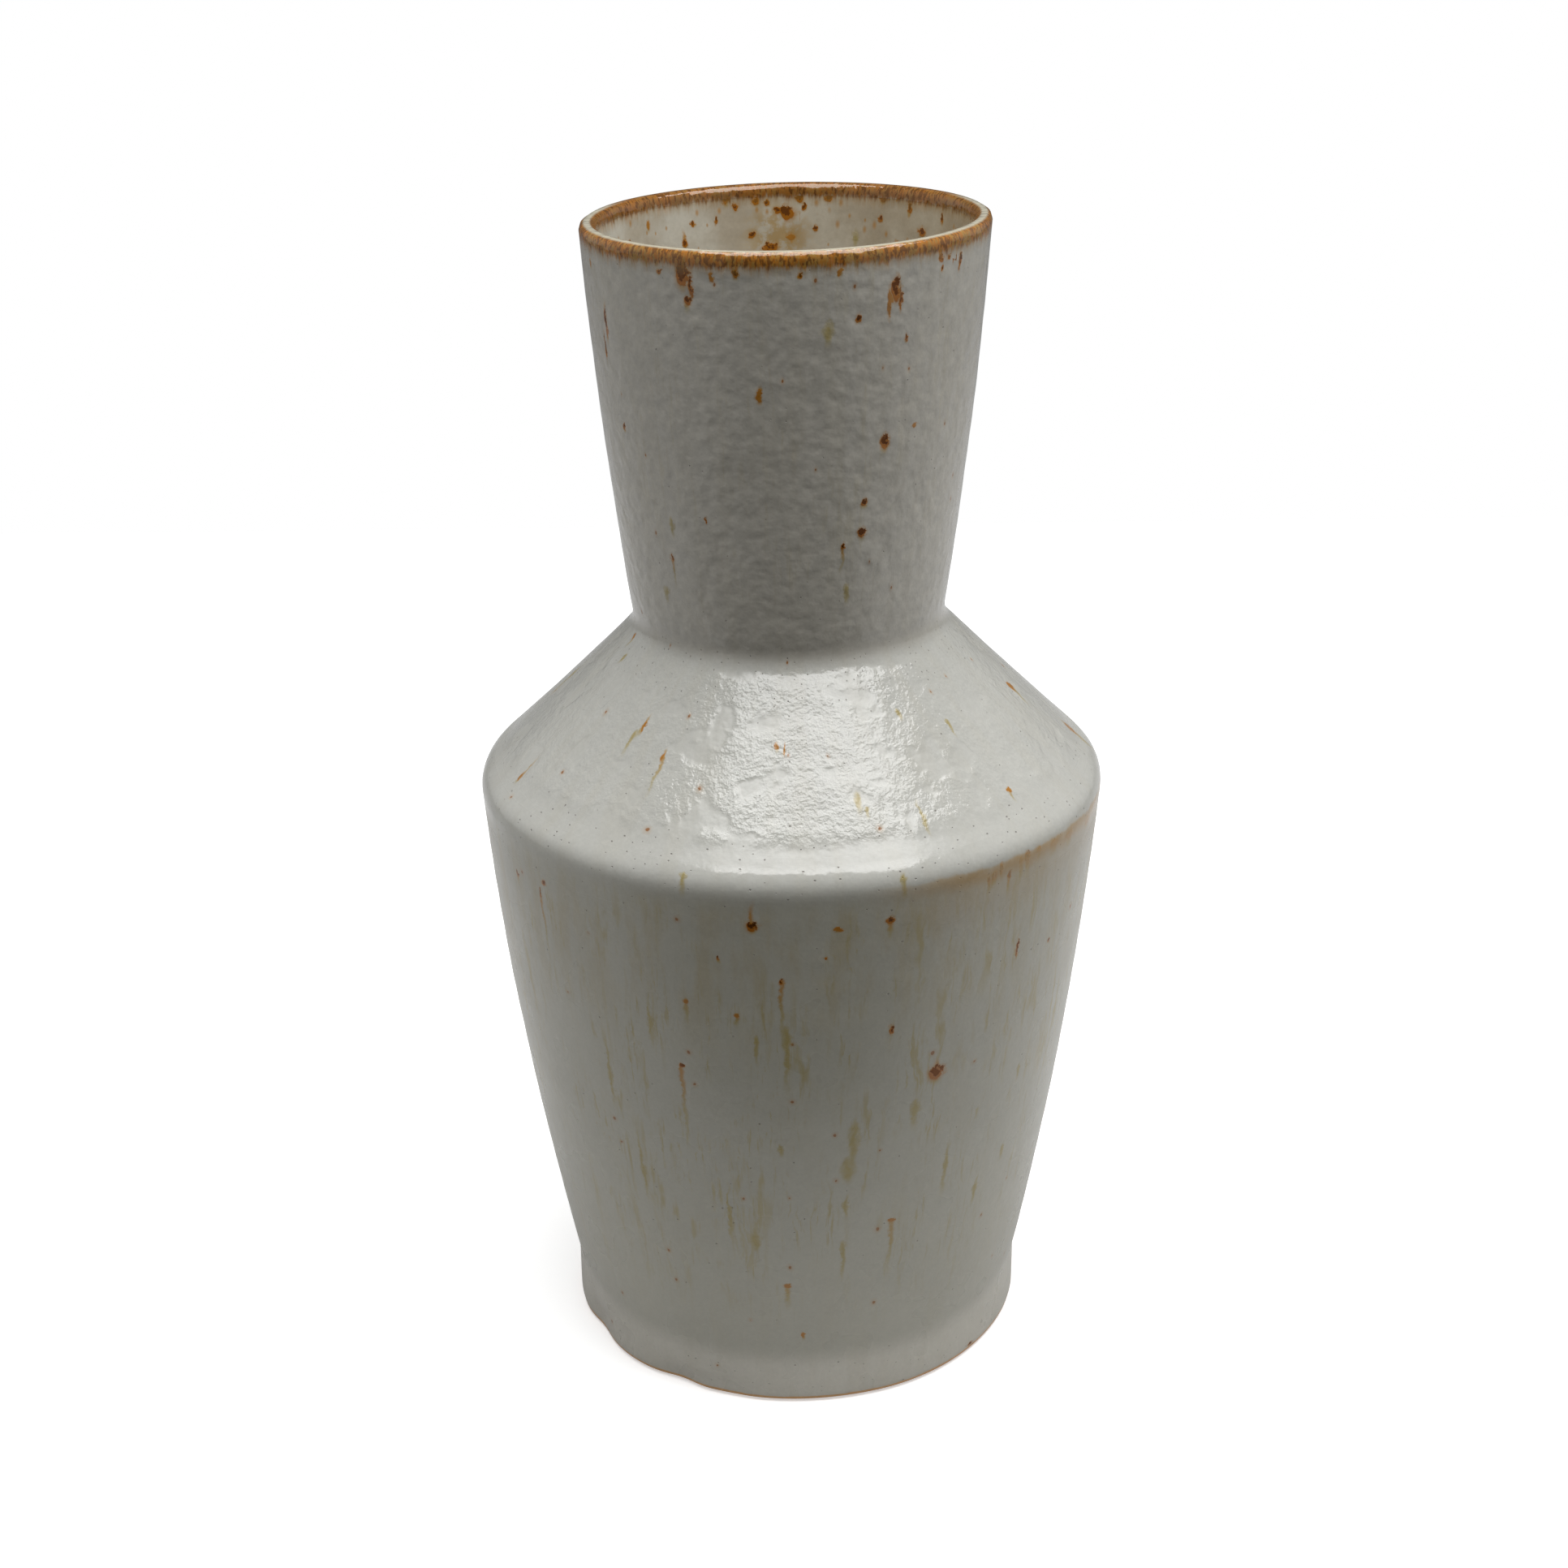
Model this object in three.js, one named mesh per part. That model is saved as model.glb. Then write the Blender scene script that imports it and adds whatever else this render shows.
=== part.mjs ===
// A thrown and luted stoneware vase, standing on its foot with its axis on +Z.
//
// Four clay sections (foot, body, shoulder and neck) meet at the breaks of the outline. Each joint is
// a layer of slip that fills a groove scored in both clay faces. A coat of glaze covers the outside
// and the lip, and a second one lines the inside.

import * as THREE from 'three';

// ---- Driving dimensions, in millimetres ----

const vaseHeight = 300;

const footRadius = 61.4;
const footBandHeight = 17;
const footEdgeRound = 2;
const footCreaseRound = 6;

// The shoulder and the neck crease are given by the sharp corners that their rounds cut off.
const shoulderRadius = 81.1;
const shoulderHeight = 158.5;
const shoulderRound = 7;
const bodyBulge = 2.4;

const creaseRadius = 39.6;
const creaseHeight = 199;
const creaseRound = 7;
const neckBulge = 1;

const rimRadius = 50.1;
const lipThickness = 4.1;
const lipRound = 1.9;

const wallThickness = 5;
const floorThickness = 9;
const floorRound = 7;

const glazeThickness = 0.6;
const bareFootHeight = 1;
const lipCoatDepth = 3.5;

const slipThickness = 1.2;
const scoreDepth = 0.6;
const scoreWidth = 1.6;

// The gap left between two pieces that touch.
const clearance = 0.3;

// ---- Fineness of the faceting ----

const lathePieces = 32;
const degreesPerArcPiece = 20;
const bodyCurvePieces = 5;
const neckCurvePieces = 4;

// ---- Values that follow ----

const clayDepth = glazeThickness + clearance;
const shellThickness = wallThickness + 2 * clayDepth;
const floorTop = floorThickness + clayDepth;

// ---- Outlines: lists of corners in the half plane, x for the radius and y for the height ----

function corner(radius, height, round = 0) {
  const point = new THREE.Vector2(radius, height);
  return { point, round };
}

function leftOf(from, to) {
  const along = to.clone().sub(from).normalize();
  return new THREE.Vector2(-along.y, along.x);
}

// Moves a corner towards the left of the path by the same distance from both of its edges.
function mitred(previous, point, next, distance) {
  const first = leftOf(previous, point);
  const second = leftOf(point, next);
  const bisector = first.clone().add(second).normalize();
  return point.clone().addScaledVector(bisector, distance / bisector.dot(first));
}

// The corners between two ends of a span that swells to its left or right like a shallow arch.
function archBetween(start, end, bulge, pieces) {
  const outwards = leftOf(start, end).negate();
  const steps = Array.from({ length: pieces - 1 }, (_, index) => (index + 1) / pieces);
  return steps.map((share) => {
    const point = start.clone().lerp(end, share);
    point.addScaledVector(outwards, 4 * bulge * share * (1 - share));
    return { point, round: 0 };
  });
}

// The glazed surface, from the edge of the foot up the outside, over the lip and down to the
// middle of the floor. The ware lies on the left of this path all the way.
function surfaceCorners() {
  const footEdge = new THREE.Vector2(footRadius, 0);
  const footCrease = new THREE.Vector2(footRadius, footBandHeight);
  const shoulder = new THREE.Vector2(shoulderRadius, shoulderHeight);
  const crease = new THREE.Vector2(creaseRadius, creaseHeight);
  const rim = new THREE.Vector2(rimRadius, vaseHeight);
  const innerRim = new THREE.Vector2(rimRadius - lipThickness, vaseHeight);
  const innerCrease = mitred(shoulder, crease, rim, shellThickness);
  const innerShoulder = mitred(footCrease, shoulder, crease, shellThickness);
  const innerFoot = mitred(footEdge, footCrease, shoulder, shellThickness);
  return [
    corner(footRadius, 0, footEdgeRound),
    { point: footCrease, round: footCreaseRound },
    ...archBetween(footCrease, shoulder, bodyBulge, bodyCurvePieces),
    { point: shoulder, round: shoulderRound },
    { point: crease, round: creaseRound },
    ...archBetween(crease, rim, neckBulge, neckCurvePieces),
    { point: rim, round: lipRound },
    { point: innerRim, round: lipRound },
    ...archBetween(innerRim, innerCrease, -neckBulge, neckCurvePieces),
    { point: innerCrease, round: creaseRound - shellThickness },
    { point: innerShoulder, round: shoulderRound },
    ...archBetween(innerShoulder, innerFoot, -bodyBulge, bodyCurvePieces),
    { point: innerFoot, round: footCreaseRound },
    corner(footRadius - shellThickness, floorTop, floorRound),
    corner(0, floorTop),
  ];
}

// Rounds one corner, within its two edges, into an arc of short pieces.
function arcAt(previous, item, next) {
  const back = previous.clone().sub(item.point);
  const ahead = next.clone().sub(item.point);
  const room = 0.45 * Math.min(back.length(), ahead.length());
  back.normalize();
  ahead.normalize();
  const halfAngle = Math.acos(THREE.MathUtils.clamp(back.dot(ahead), -1, 1)) / 2;
  const reach = Math.min(item.round / Math.tan(halfAngle), room);
  const radius = reach * Math.tan(halfAngle);
  const middle = back.clone().add(ahead).normalize();
  const centre = item.point.clone().addScaledVector(middle, radius / Math.sin(halfAngle));
  const start = item.point.clone().addScaledVector(back, reach).sub(centre);
  const turn = Math.PI - 2 * halfAngle;
  const side = Math.sign(ahead.cross(back));
  const pieces = Math.max(1, Math.round(THREE.MathUtils.radToDeg(turn) / degreesPerArcPiece));
  const origin = new THREE.Vector2();
  return Array.from({ length: pieces + 1 }, (_, index) => {
    const step = start.clone().rotateAround(origin, (side * turn * index) / pieces);
    return step.add(centre);
  });
}

// The surface that lies a given depth under the glaze, as a path of points that starts and ends on
// the axis. The underside stays on the table at every depth.
function surfaceAt(depth) {
  const corners = surfaceCorners();
  const points = corners.map((item) => item.point);
  const last = points.length - 1;
  const moved = corners.map((item, index) => {
    const before = points[index - 1];
    const after = points[index + 1];
    if (index === 0) {
      return item.point.clone().addScaledVector(leftOf(item.point, after), depth);
    }
    if (index === last) {
      return item.point.clone().addScaledVector(leftOf(before, item.point), depth);
    }
    return mitred(before, item.point, after, depth);
  });
  const path = [new THREE.Vector2(0, 0)];
  moved.forEach((point, index) => {
    const before = index === 0 ? path[0] : moved[index - 1];
    const after = moved[index + 1];
    if (corners[index].round <= 0) {
      path.push(point);
      return;
    }
    const turnsLeft = point.clone().sub(before).cross(after.clone().sub(point)) > 0;
    const round = Math.max(corners[index].round + (turnsLeft ? -depth : depth), glazeThickness);
    path.push(...arcAt(before, { point, round }, after));
  });
  return path;
}

// ---- Joints: straight lines across the wall, with a height that grows upwards from the line ----

function jointBetween(outer, inner) {
  const along = outer.clone().sub(inner).normalize();
  const up = new THREE.Vector2(-along.y, along.x);
  const heightOf = (point) => point.clone().sub(outer).dot(up);
  return { along, up, heightOf };
}

function jointAtMitre(previous, point, next) {
  return jointBetween(point, mitred(previous, point, next, shellThickness));
}

// Cuts a closed outline along a joint and keeps the side named by sign, starting at a distance from
// the joint. The new face gets the scored groove, or the ridge of slip that fills it.
function cutAtJoint(outline, joint, sign, distance) {
  const inside = outline.map((point) => sign * joint.heightOf(point) - distance);
  const first = inside.findIndex((value) => value >= 0);
  const order = outline.map((_, index) => (index + first) % outline.length);
  const kept = [];
  let left = null;
  order.forEach((index) => {
    const next = (index + 1) % outline.length;
    if (inside[index] >= 0) {
      kept.push(outline[index]);
    }
    if (inside[index] >= 0 === inside[next] >= 0) {
      return;
    }
    const share = inside[index] / (inside[index] - inside[next]);
    const crossing = outline[index].clone().lerp(outline[next], share);
    if (left === null) {
      left = crossing;
      kept.push(crossing);
      return;
    }
    kept.push(...scoreBetween(left, crossing, joint, Math.sign(distance) * sign), crossing);
    left = null;
  });
  return kept;
}

// The three corners of the scored groove, or of the ridge in it, in the middle of a joint face.
function scoreBetween(from, to, joint, sign) {
  const middle = from.clone().lerp(to, 0.5);
  const half = to.clone().sub(from).setLength(scoreWidth / 2);
  const bottom = middle.clone().addScaledVector(joint.up, sign * scoreDepth);
  return [middle.clone().sub(half), bottom, middle.clone().add(half)];
}

// ---- Making a mesh ----

// Turns an outline about the vase's axis. A closed outline that stands clear of the axis is joined
// end to end, and one that starts and ends on the axis is left as it is.
function turned(outline) {
  const touchesAxis = outline.some((point) => point.x === 0);
  const profile = touchesAxis ? fromAxis(outline) : [...outline, outline[0]];
  const geometry = new THREE.LatheGeometry(profile, lathePieces);
  geometry.rotateX(Math.PI / 2);
  return geometry;
}

// The same outline, started at its lower point on the axis and ended at its upper one.
function fromAxis(outline) {
  const start = outline.findIndex((point, index) => {
    const previous = outline[(index + outline.length - 1) % outline.length];
    return point.x === 0 && previous.x === 0;
  });
  return [...outline.slice(start), ...outline.slice(0, start)];
}

function sectionMesh(name, outline, material) {
  const mesh = new THREE.Mesh(turned(outline), material);
  mesh.name = name;
  return mesh;
}

function stonewareMaterial() {
  return new THREE.MeshStandardMaterial({ color: 0xb07a4e, roughness: 0.9, metalness: 0 });
}

function slipMaterial() {
  return new THREE.MeshStandardMaterial({ color: 0x8a5a3a, roughness: 0.95, metalness: 0 });
}

function outerGlazeMaterial() {
  return new THREE.MeshStandardMaterial({ color: 0xc9c8c0, roughness: 0.28, metalness: 0 });
}

function innerGlazeMaterial() {
  return new THREE.MeshStandardMaterial({ color: 0xb7a98c, roughness: 0.35, metalness: 0 });
}

// ---- The pieces ----

const footLine = new THREE.Vector2(footRadius, 0);
const footCreaseLine = new THREE.Vector2(footRadius, footBandHeight);
const shoulderLine = new THREE.Vector2(shoulderRadius, shoulderHeight);
const creaseLine = new THREE.Vector2(creaseRadius, creaseHeight);
const rimLine = new THREE.Vector2(rimRadius, vaseHeight);

const footJoint = jointBetween(footCreaseLine, new THREE.Vector2(0, footBandHeight));
const shoulderJoint = jointAtMitre(footCreaseLine, shoulderLine, creaseLine);
const neckJoint = jointAtMitre(shoulderLine, creaseLine, rimLine);

const halfSlip = slipThickness / 2;
const clayFace = halfSlip + clearance;

function below(joint) {
  return (outline) => cutAtJoint(outline, joint, -1, clayFace);
}

function above(joint) {
  return (outline) => cutAtJoint(outline, joint, 1, clayFace);
}

function claySection(name, ...cuts) {
  const outline = cuts.reduce((shape, cut) => cut(shape), surfaceAt(clayDepth));
  return sectionMesh(name, outline, stonewareMaterial());
}

// The slip is what the clay outline holds within half its thickness of the joint.
function jointSlip(name, joint) {
  const under = cutAtJoint(surfaceAt(clayDepth), joint, -1, -halfSlip);
  const outline = cutAtJoint(under, joint, 1, -halfSlip);
  return sectionMesh(name, outline, slipMaterial());
}

// Where a path first climbs through a height, or last drops through it, as a place along the path.
function crossingIndex(path, height, climbing) {
  const steps = path.slice(1).map((point, index) => {
    const start = path[index].y - height;
    const end = point.y - height;
    return climbing ? start < 0 && end >= 0 : start >= 0 && end < 0;
  });
  return climbing ? steps.indexOf(true) : steps.lastIndexOf(true);
}

function crossingPoint(path, height, index) {
  const share = (height - path[index].y) / (path[index + 1].y - path[index].y);
  return path[index].clone().lerp(path[index + 1], share);
}

// The stretch of one surface that the outer coat covers.
function outerStretch(path) {
  const lipEnd = vaseHeight - lipCoatDepth;
  const start = crossingIndex(path, bareFootHeight, true);
  const end = crossingIndex(path, lipEnd, false);
  const between = path.slice(start + 1, end + 1);
  return [crossingPoint(path, bareFootHeight, start), ...between, crossingPoint(path, lipEnd, end)];
}

// The stretch of one surface that the liner covers, down to the middle of the floor.
function innerStretch(path) {
  const top = vaseHeight - lipCoatDepth - clearance;
  const start = crossingIndex(path, top, false);
  return [crossingPoint(path, top, start), ...path.slice(start + 1)];
}

function glazeCoat(name, stretch, material) {
  const face = stretch(surfaceAt(0));
  const back = stretch(surfaceAt(glazeThickness));
  return sectionMesh(name, [...face, ...back.reverse()], material);
}

const vase = new THREE.Group();
vase.add(
  claySection('foot_section', below(footJoint)),
  claySection('body_section', above(footJoint), below(shoulderJoint)),
  claySection('shoulder_section', above(shoulderJoint), below(neckJoint)),
  claySection('neck_section', above(neckJoint)),
  jointSlip('foot_joint_slip', footJoint),
  jointSlip('shoulder_joint_slip', shoulderJoint),
  jointSlip('neck_joint_slip', neckJoint),
  glazeCoat('outer_glaze', outerStretch, outerGlazeMaterial()),
  glazeCoat('inner_glaze', innerStretch, innerGlazeMaterial()),
);

export default vase;
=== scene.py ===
"""A stoneware vase, thrown in four sections, luted with slip and glazed inside and out.

Every piece is turned about the vase's axis from its own outline, and then all of them are pushed
out of true by one shared set of throwing marks, so that the coats stay on their clay. Outlines are
lists of complex numbers in millimetres: the radius is the real part and the height the imaginary.
Angles round the vase are counted from its front, the -Y side, towards +X.
"""

import logging
import math
import random
from dataclasses import dataclass
from enum import Enum
from typing import Sequence, Union

import bpy
import numpy as np
from mathutils import Matrix, Vector, noise


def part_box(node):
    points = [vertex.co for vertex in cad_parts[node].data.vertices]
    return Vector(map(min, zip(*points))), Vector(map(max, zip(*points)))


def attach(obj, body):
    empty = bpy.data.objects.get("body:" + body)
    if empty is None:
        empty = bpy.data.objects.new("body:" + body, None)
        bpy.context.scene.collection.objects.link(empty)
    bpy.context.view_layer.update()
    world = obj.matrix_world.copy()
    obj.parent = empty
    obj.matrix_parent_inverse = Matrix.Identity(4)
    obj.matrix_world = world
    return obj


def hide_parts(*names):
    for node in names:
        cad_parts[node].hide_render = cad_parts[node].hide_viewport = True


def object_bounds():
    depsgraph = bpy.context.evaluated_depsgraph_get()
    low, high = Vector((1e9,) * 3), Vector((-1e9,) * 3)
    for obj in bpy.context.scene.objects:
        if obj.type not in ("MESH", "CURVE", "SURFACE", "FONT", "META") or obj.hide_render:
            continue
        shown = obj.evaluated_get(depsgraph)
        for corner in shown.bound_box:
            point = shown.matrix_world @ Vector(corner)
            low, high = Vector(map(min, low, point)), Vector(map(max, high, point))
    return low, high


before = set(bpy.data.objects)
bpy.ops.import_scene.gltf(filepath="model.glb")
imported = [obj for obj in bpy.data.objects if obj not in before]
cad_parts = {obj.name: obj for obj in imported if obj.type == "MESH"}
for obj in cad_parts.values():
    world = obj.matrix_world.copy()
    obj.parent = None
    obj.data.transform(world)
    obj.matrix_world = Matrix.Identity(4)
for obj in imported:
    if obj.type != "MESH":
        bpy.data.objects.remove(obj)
CAD_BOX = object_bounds()

LOG = logging.getLogger("vase")
TAU = 2 * math.pi
DRUM = 60.0  # the radius of the drum that noise is laid on, in millimetres
UNROLLED = 62.0  # the radius at which the wall is unrolled, in millimetres
ON_AXIS = 1.0  # what is nearer to the axis than this is the middle of the floor
FAR = 1000.0  # farther than any two places on the vase
Outline = list[complex]
Rgb = tuple[float, float, float]
Span = tuple[float, float]  # two ends of a stretch, such as where something starts and is full


# ---- The turned form ----


@dataclass(frozen=True)
class VaseForm:
    """The sizes of the turned form at its glazed surface, in millimetres.

    The shoulder and the crease are the sharp corners that their rounds cut off.
    """

    height: float = 300.0
    foot_radius: float = 61.4
    band_height: float = 17.0
    foot_edge_round: float = 2.0
    foot_crease_round: float = 6.0
    shoulder_radius: float = 81.2
    shoulder_height: float = 158.4
    shoulder_round: float = 7.0
    body_bulge: float = 2.45
    crease_radius: float = 39.6
    crease_height: float = 199.0
    crease_round: float = 7.0
    cone_sag: float = 0.35
    neck_bulge: float = 1.05
    rim_radius: float = 50.1
    lip_thickness: float = 4.1
    lip_round: float = 1.95
    wall: float = 5.0
    floor: float = 9.0
    floor_round: float = 7.0
    inner_crease_round: float = 1.6
    glaze: float = 0.6
    gap: float = 0.3
    bare_foot: float = 1.0
    lip_coat: float = 3.5
    lip_top: float = 1.0
    coat_seam: float = 0.02
    slip: float = 1.2
    score_depth: float = 0.6
    score_width: float = 1.6

    @property
    def clay_depth(self) -> float:
        """How far the clay lies under the glazed surface."""
        return self.glaze + self.gap

    @property
    def shell(self) -> float:
        """The whole wall's thickness, glaze to glaze."""
        return self.wall + 2 * self.clay_depth

    @property
    def metre(self) -> float:
        """Metres in one millimetre of these sizes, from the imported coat's height."""
        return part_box("outer_glaze")[1].z / self.height


FORM = VaseForm()
METRE = FORM.metre


def dot(first: complex, second: complex) -> float:
    """The dot product of two vectors written as complex numbers."""
    return (first.conjugate() * second).real


def left_of(start: complex, end: complex) -> complex:
    """The unit vector to the left of the way from start to end."""
    along = end - start
    return 1j * along / abs(along)


def mitred(before: complex, point: complex, after: complex, distance: float) -> complex:
    """Moves a corner to the left of the path, by the same distance from both its edges."""
    first, second = left_of(before, point), left_of(point, after)
    bisector = (first + second) / abs(first + second)
    return point + bisector * distance / dot(bisector, first)


def arch(start: complex, end: complex, bulge: float, pieces: int) -> Outline:
    """The points between two ends of a span that swells to its right like a shallow arch."""
    outwards = -left_of(start, end)
    shares = [step / pieces for step in range(1, pieces)]
    return [start + (end - start) * s + outwards * 4 * bulge * s * (1 - s) for s in shares]


def rounded(before: complex, point: complex, after: complex, radius: float) -> Outline:
    """A corner cut by an arc, which takes less than half of each edge."""
    step_degrees, most_of_edge = 6, 0.45
    back, ahead = before - point, after - point
    room = most_of_edge * min(abs(back), abs(ahead))
    back, ahead = back / abs(back), ahead / abs(ahead)
    half_angle = math.acos(max(-1.0, min(1.0, dot(back, ahead)))) / 2
    reach = min(radius / math.tan(half_angle), room)
    radius = reach * math.tan(half_angle)
    middle = (back + ahead) / abs(back + ahead)
    centre = point + middle * radius / math.sin(half_angle)
    turn = math.pi - 2 * half_angle
    side = math.copysign(1.0, (ahead.conjugate() * back).imag)
    pieces = max(2, round(math.degrees(turn) / step_degrees))
    spoke = point + back * reach - centre
    rotation = [side * turn * step / pieces for step in range(pieces + 1)]
    return [centre + spoke * complex(math.cos(a), math.sin(a)) for a in rotation]


def evenly(points: Outline, step: float) -> Outline:
    """The same path with points about one step apart, its two ends kept."""
    path = np.array(points)
    length = np.concatenate([[0.0], np.cumsum(np.abs(np.diff(path)))])
    places = np.linspace(0.0, length[-1], max(2, round(length[-1] / step)) + 1)
    return list(np.interp(places, length, path.real) + 1j * np.interp(places, length, path.imag))


class GlazedPath:
    """The glazed surface from the foot's edge, over the lip, down to the middle of the floor.

    The ware lies on the left of the path all the way, so a piece's faces are copies of parts of
    it, moved to the left by their depth.
    """

    step = 0.5
    body_pieces = 8
    cone_pieces = 4
    neck_pieces = 7

    def __init__(self, form: VaseForm) -> None:
        """Rounds the form's corners into one path.

        Args:
            form: the sizes of the vase.
        """
        self.form = form
        shell = form.shell
        foot_edge = complex(form.foot_radius, 0)
        foot_crease = complex(form.foot_radius, form.band_height)
        shoulder = complex(form.shoulder_radius, form.shoulder_height)
        crease = complex(form.crease_radius, form.crease_height)
        rim = complex(form.rim_radius, form.height)
        inner_rim = rim - form.lip_thickness
        inner_crease = mitred(shoulder, crease, rim, shell)
        inner_shoulder = mitred(foot_crease, shoulder, crease, shell)
        inner_foot = mitred(foot_edge, foot_crease, shoulder, shell)
        floor_top = form.floor + form.clay_depth
        self.joints = {
            "foot": (foot_crease, foot_crease - shell),
            "shoulder": (shoulder, inner_shoulder),
            "neck": (crease, inner_crease),
        }
        corners: list[tuple[complex, float]] = [
            (foot_edge, form.foot_edge_round),
            (foot_crease, form.foot_crease_round),
            *self._free(arch(foot_crease, shoulder, form.body_bulge, self.body_pieces)),
            (shoulder, form.shoulder_round),
            *self._free(arch(shoulder, crease, -form.cone_sag, self.cone_pieces)),
            (crease, form.crease_round),
            *self._free(arch(crease, rim, form.neck_bulge, self.neck_pieces)),
            (rim, form.lip_round),
            (inner_rim, form.lip_round),
            *self._free(arch(inner_rim, inner_crease, -form.neck_bulge, self.neck_pieces)),
            (inner_crease, form.inner_crease_round),
            *self._free(arch(inner_crease, inner_shoulder, form.cone_sag, self.cone_pieces)),
            (inner_shoulder, form.shoulder_round),
            *self._free(arch(inner_shoulder, inner_foot, -form.body_bulge, self.body_pieces)),
            (inner_foot, form.foot_crease_round),
            (complex(form.foot_radius - shell, floor_top), form.floor_round),
            (complex(0, floor_top), 0.0),
        ]
        places = [complex(0, 0)] + [corner for corner, _ in corners]
        path: Outline = []
        for index, (corner, radius) in enumerate(corners[:-1], start=1):
            path += rounded(places[index - 1], corner, places[index + 1], radius)
        path.append(corners[-1][0])
        self.points = np.array(evenly(self._eased(path), self.step))
        step = np.gradient(self.points)
        self.normals = 1j * step / np.abs(step)
        self.normals[-1] = -1j
        length = np.concatenate([[0.0], np.cumsum(np.abs(np.diff(self.points)))])
        crest = int(np.argmax(self.points.imag))
        self.way = length[crest] - length

    @staticmethod
    def _free(points: Outline) -> list[tuple[complex, float]]:
        """Corners of a curve, which get a round as long as their edges allow."""
        return [(point, FAR) for point in points]

    @staticmethod
    def _eased(path: Outline) -> Outline:
        """The path without points that lie on each other."""
        touching = 1e-4
        kept = [path[0]]
        for point in path[1:]:
            if abs(point - kept[-1]) > touching:
                kept.append(point)
        return kept

    def face(self, depth: float, start: float, end: float, step: float) -> Outline:
        """One face of a piece: the path at a depth, between two ways from the crest.

        Args:
            depth: how far under the glazed surface the face lies.
            start: the way from the crest where it starts, positive outside.
            end: the way from the crest where it ends.
            step: the distance between its points.

        Returns:
            The face's points, in the order of the path.
        """
        ways = np.linspace(start, end, max(2, round((start - end) / step)) + 1)
        points, normals = (
            np.interp(-ways, -self.way, along.real) + 1j * np.interp(-ways, -self.way, along.imag)
            for along in (self.points, self.normals)
        )
        return list(points + normals / np.abs(normals) * depth)

    def way_at_height(self, height: float, inside: bool = False) -> float:
        """The way from the crest, down the outside or the inside, to a height."""
        chosen = self.way <= 0 if inside else self.way >= 0
        heights, ways = self.points.imag[chosen], self.way[chosen]
        order = -1 if inside else 1
        return float(np.interp(height, heights[::order], ways[::order]))

    def clay(self, step: float) -> Outline:
        """The closed outline of all the clay, from the middle of the underside round to the floor."""
        depth = self.form.clay_depth
        edge_round = self.form.foot_edge_round - depth
        edge = complex(self.form.foot_radius - depth, 0)
        rising = self.face(depth, self.way[0], self.way[-1], step)
        above = [point for point in rising if point.imag > edge_round or point.real < ON_AXIS]
        wall = edge + 1j * self.form.band_height
        return [complex(0, 0)] + rounded(complex(0, 0), edge, wall, edge_round) + above


class Joint:
    """A straight line across the wall where two sections meet, with heights counted from it."""

    def __init__(self, outer: complex, inner: complex) -> None:
        """Sets the line through the joint's outer and inner corners."""
        along = (outer - inner) / abs(outer - inner)
        self.outer = outer
        self.upward = 1j * along

    def height_of(self, point: complex) -> float:
        """How far a point lies above the joint."""
        return dot(point - self.outer, self.upward)

    def cut(self, outline: Outline, side: int, distance: float, form: VaseForm) -> Outline:
        """Keeps one side of a closed outline, with a scored face where it is cut.

        Args:
            outline: the outline to cut.
            side: 1 keeps what is above the joint, -1 what is below.
            distance: where the cut starts, counted from the joint towards the kept side.
            form: the vase's sizes, for the score.

        Returns:
            The kept part, closed by the new face.
        """
        inside = [side * self.height_of(point) - distance for point in outline]
        first = next(index for index, value in enumerate(inside) if value >= 0)
        kept: Outline = []
        left: complex | None = None
        for index in [(first + step) % len(outline) for step in range(len(outline))]:
            after = (index + 1) % len(outline)
            if inside[index] >= 0:
                kept.append(outline[index])
            if (inside[index] >= 0) == (inside[after] >= 0):
                continue
            share = inside[index] / (inside[index] - inside[after])
            crossing = outline[index] + (outline[after] - outline[index]) * share
            if left is None:
                left = crossing
                kept.append(crossing)
                continue
            kept += self._score(left, crossing, side * math.copysign(1.0, distance), form)
            kept.append(crossing)
            left = None
        return kept

    def _score(self, start: complex, end: complex, sign: float, form: VaseForm) -> Outline:
        """The scored groove in the middle of a face, or the ridge of slip that fills it."""
        middle = (start + end) / 2
        half = (end - start) / abs(end - start) * form.score_width / 2
        return [middle - half, middle + self.upward * sign * form.score_depth, middle + half]


PATH = GlazedPath(FORM)


# ---- Turning an outline into a mesh ----


MERGE_WITHIN = 2e-6
HARD_EDGE = 50.0


def start_piece(name: str) -> bpy.types.Object:
    """Names the active object and its mesh, and returns it."""
    piece = bpy.context.view_layer.objects.active
    piece.name = name
    piece.data.name = name
    return piece


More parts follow.
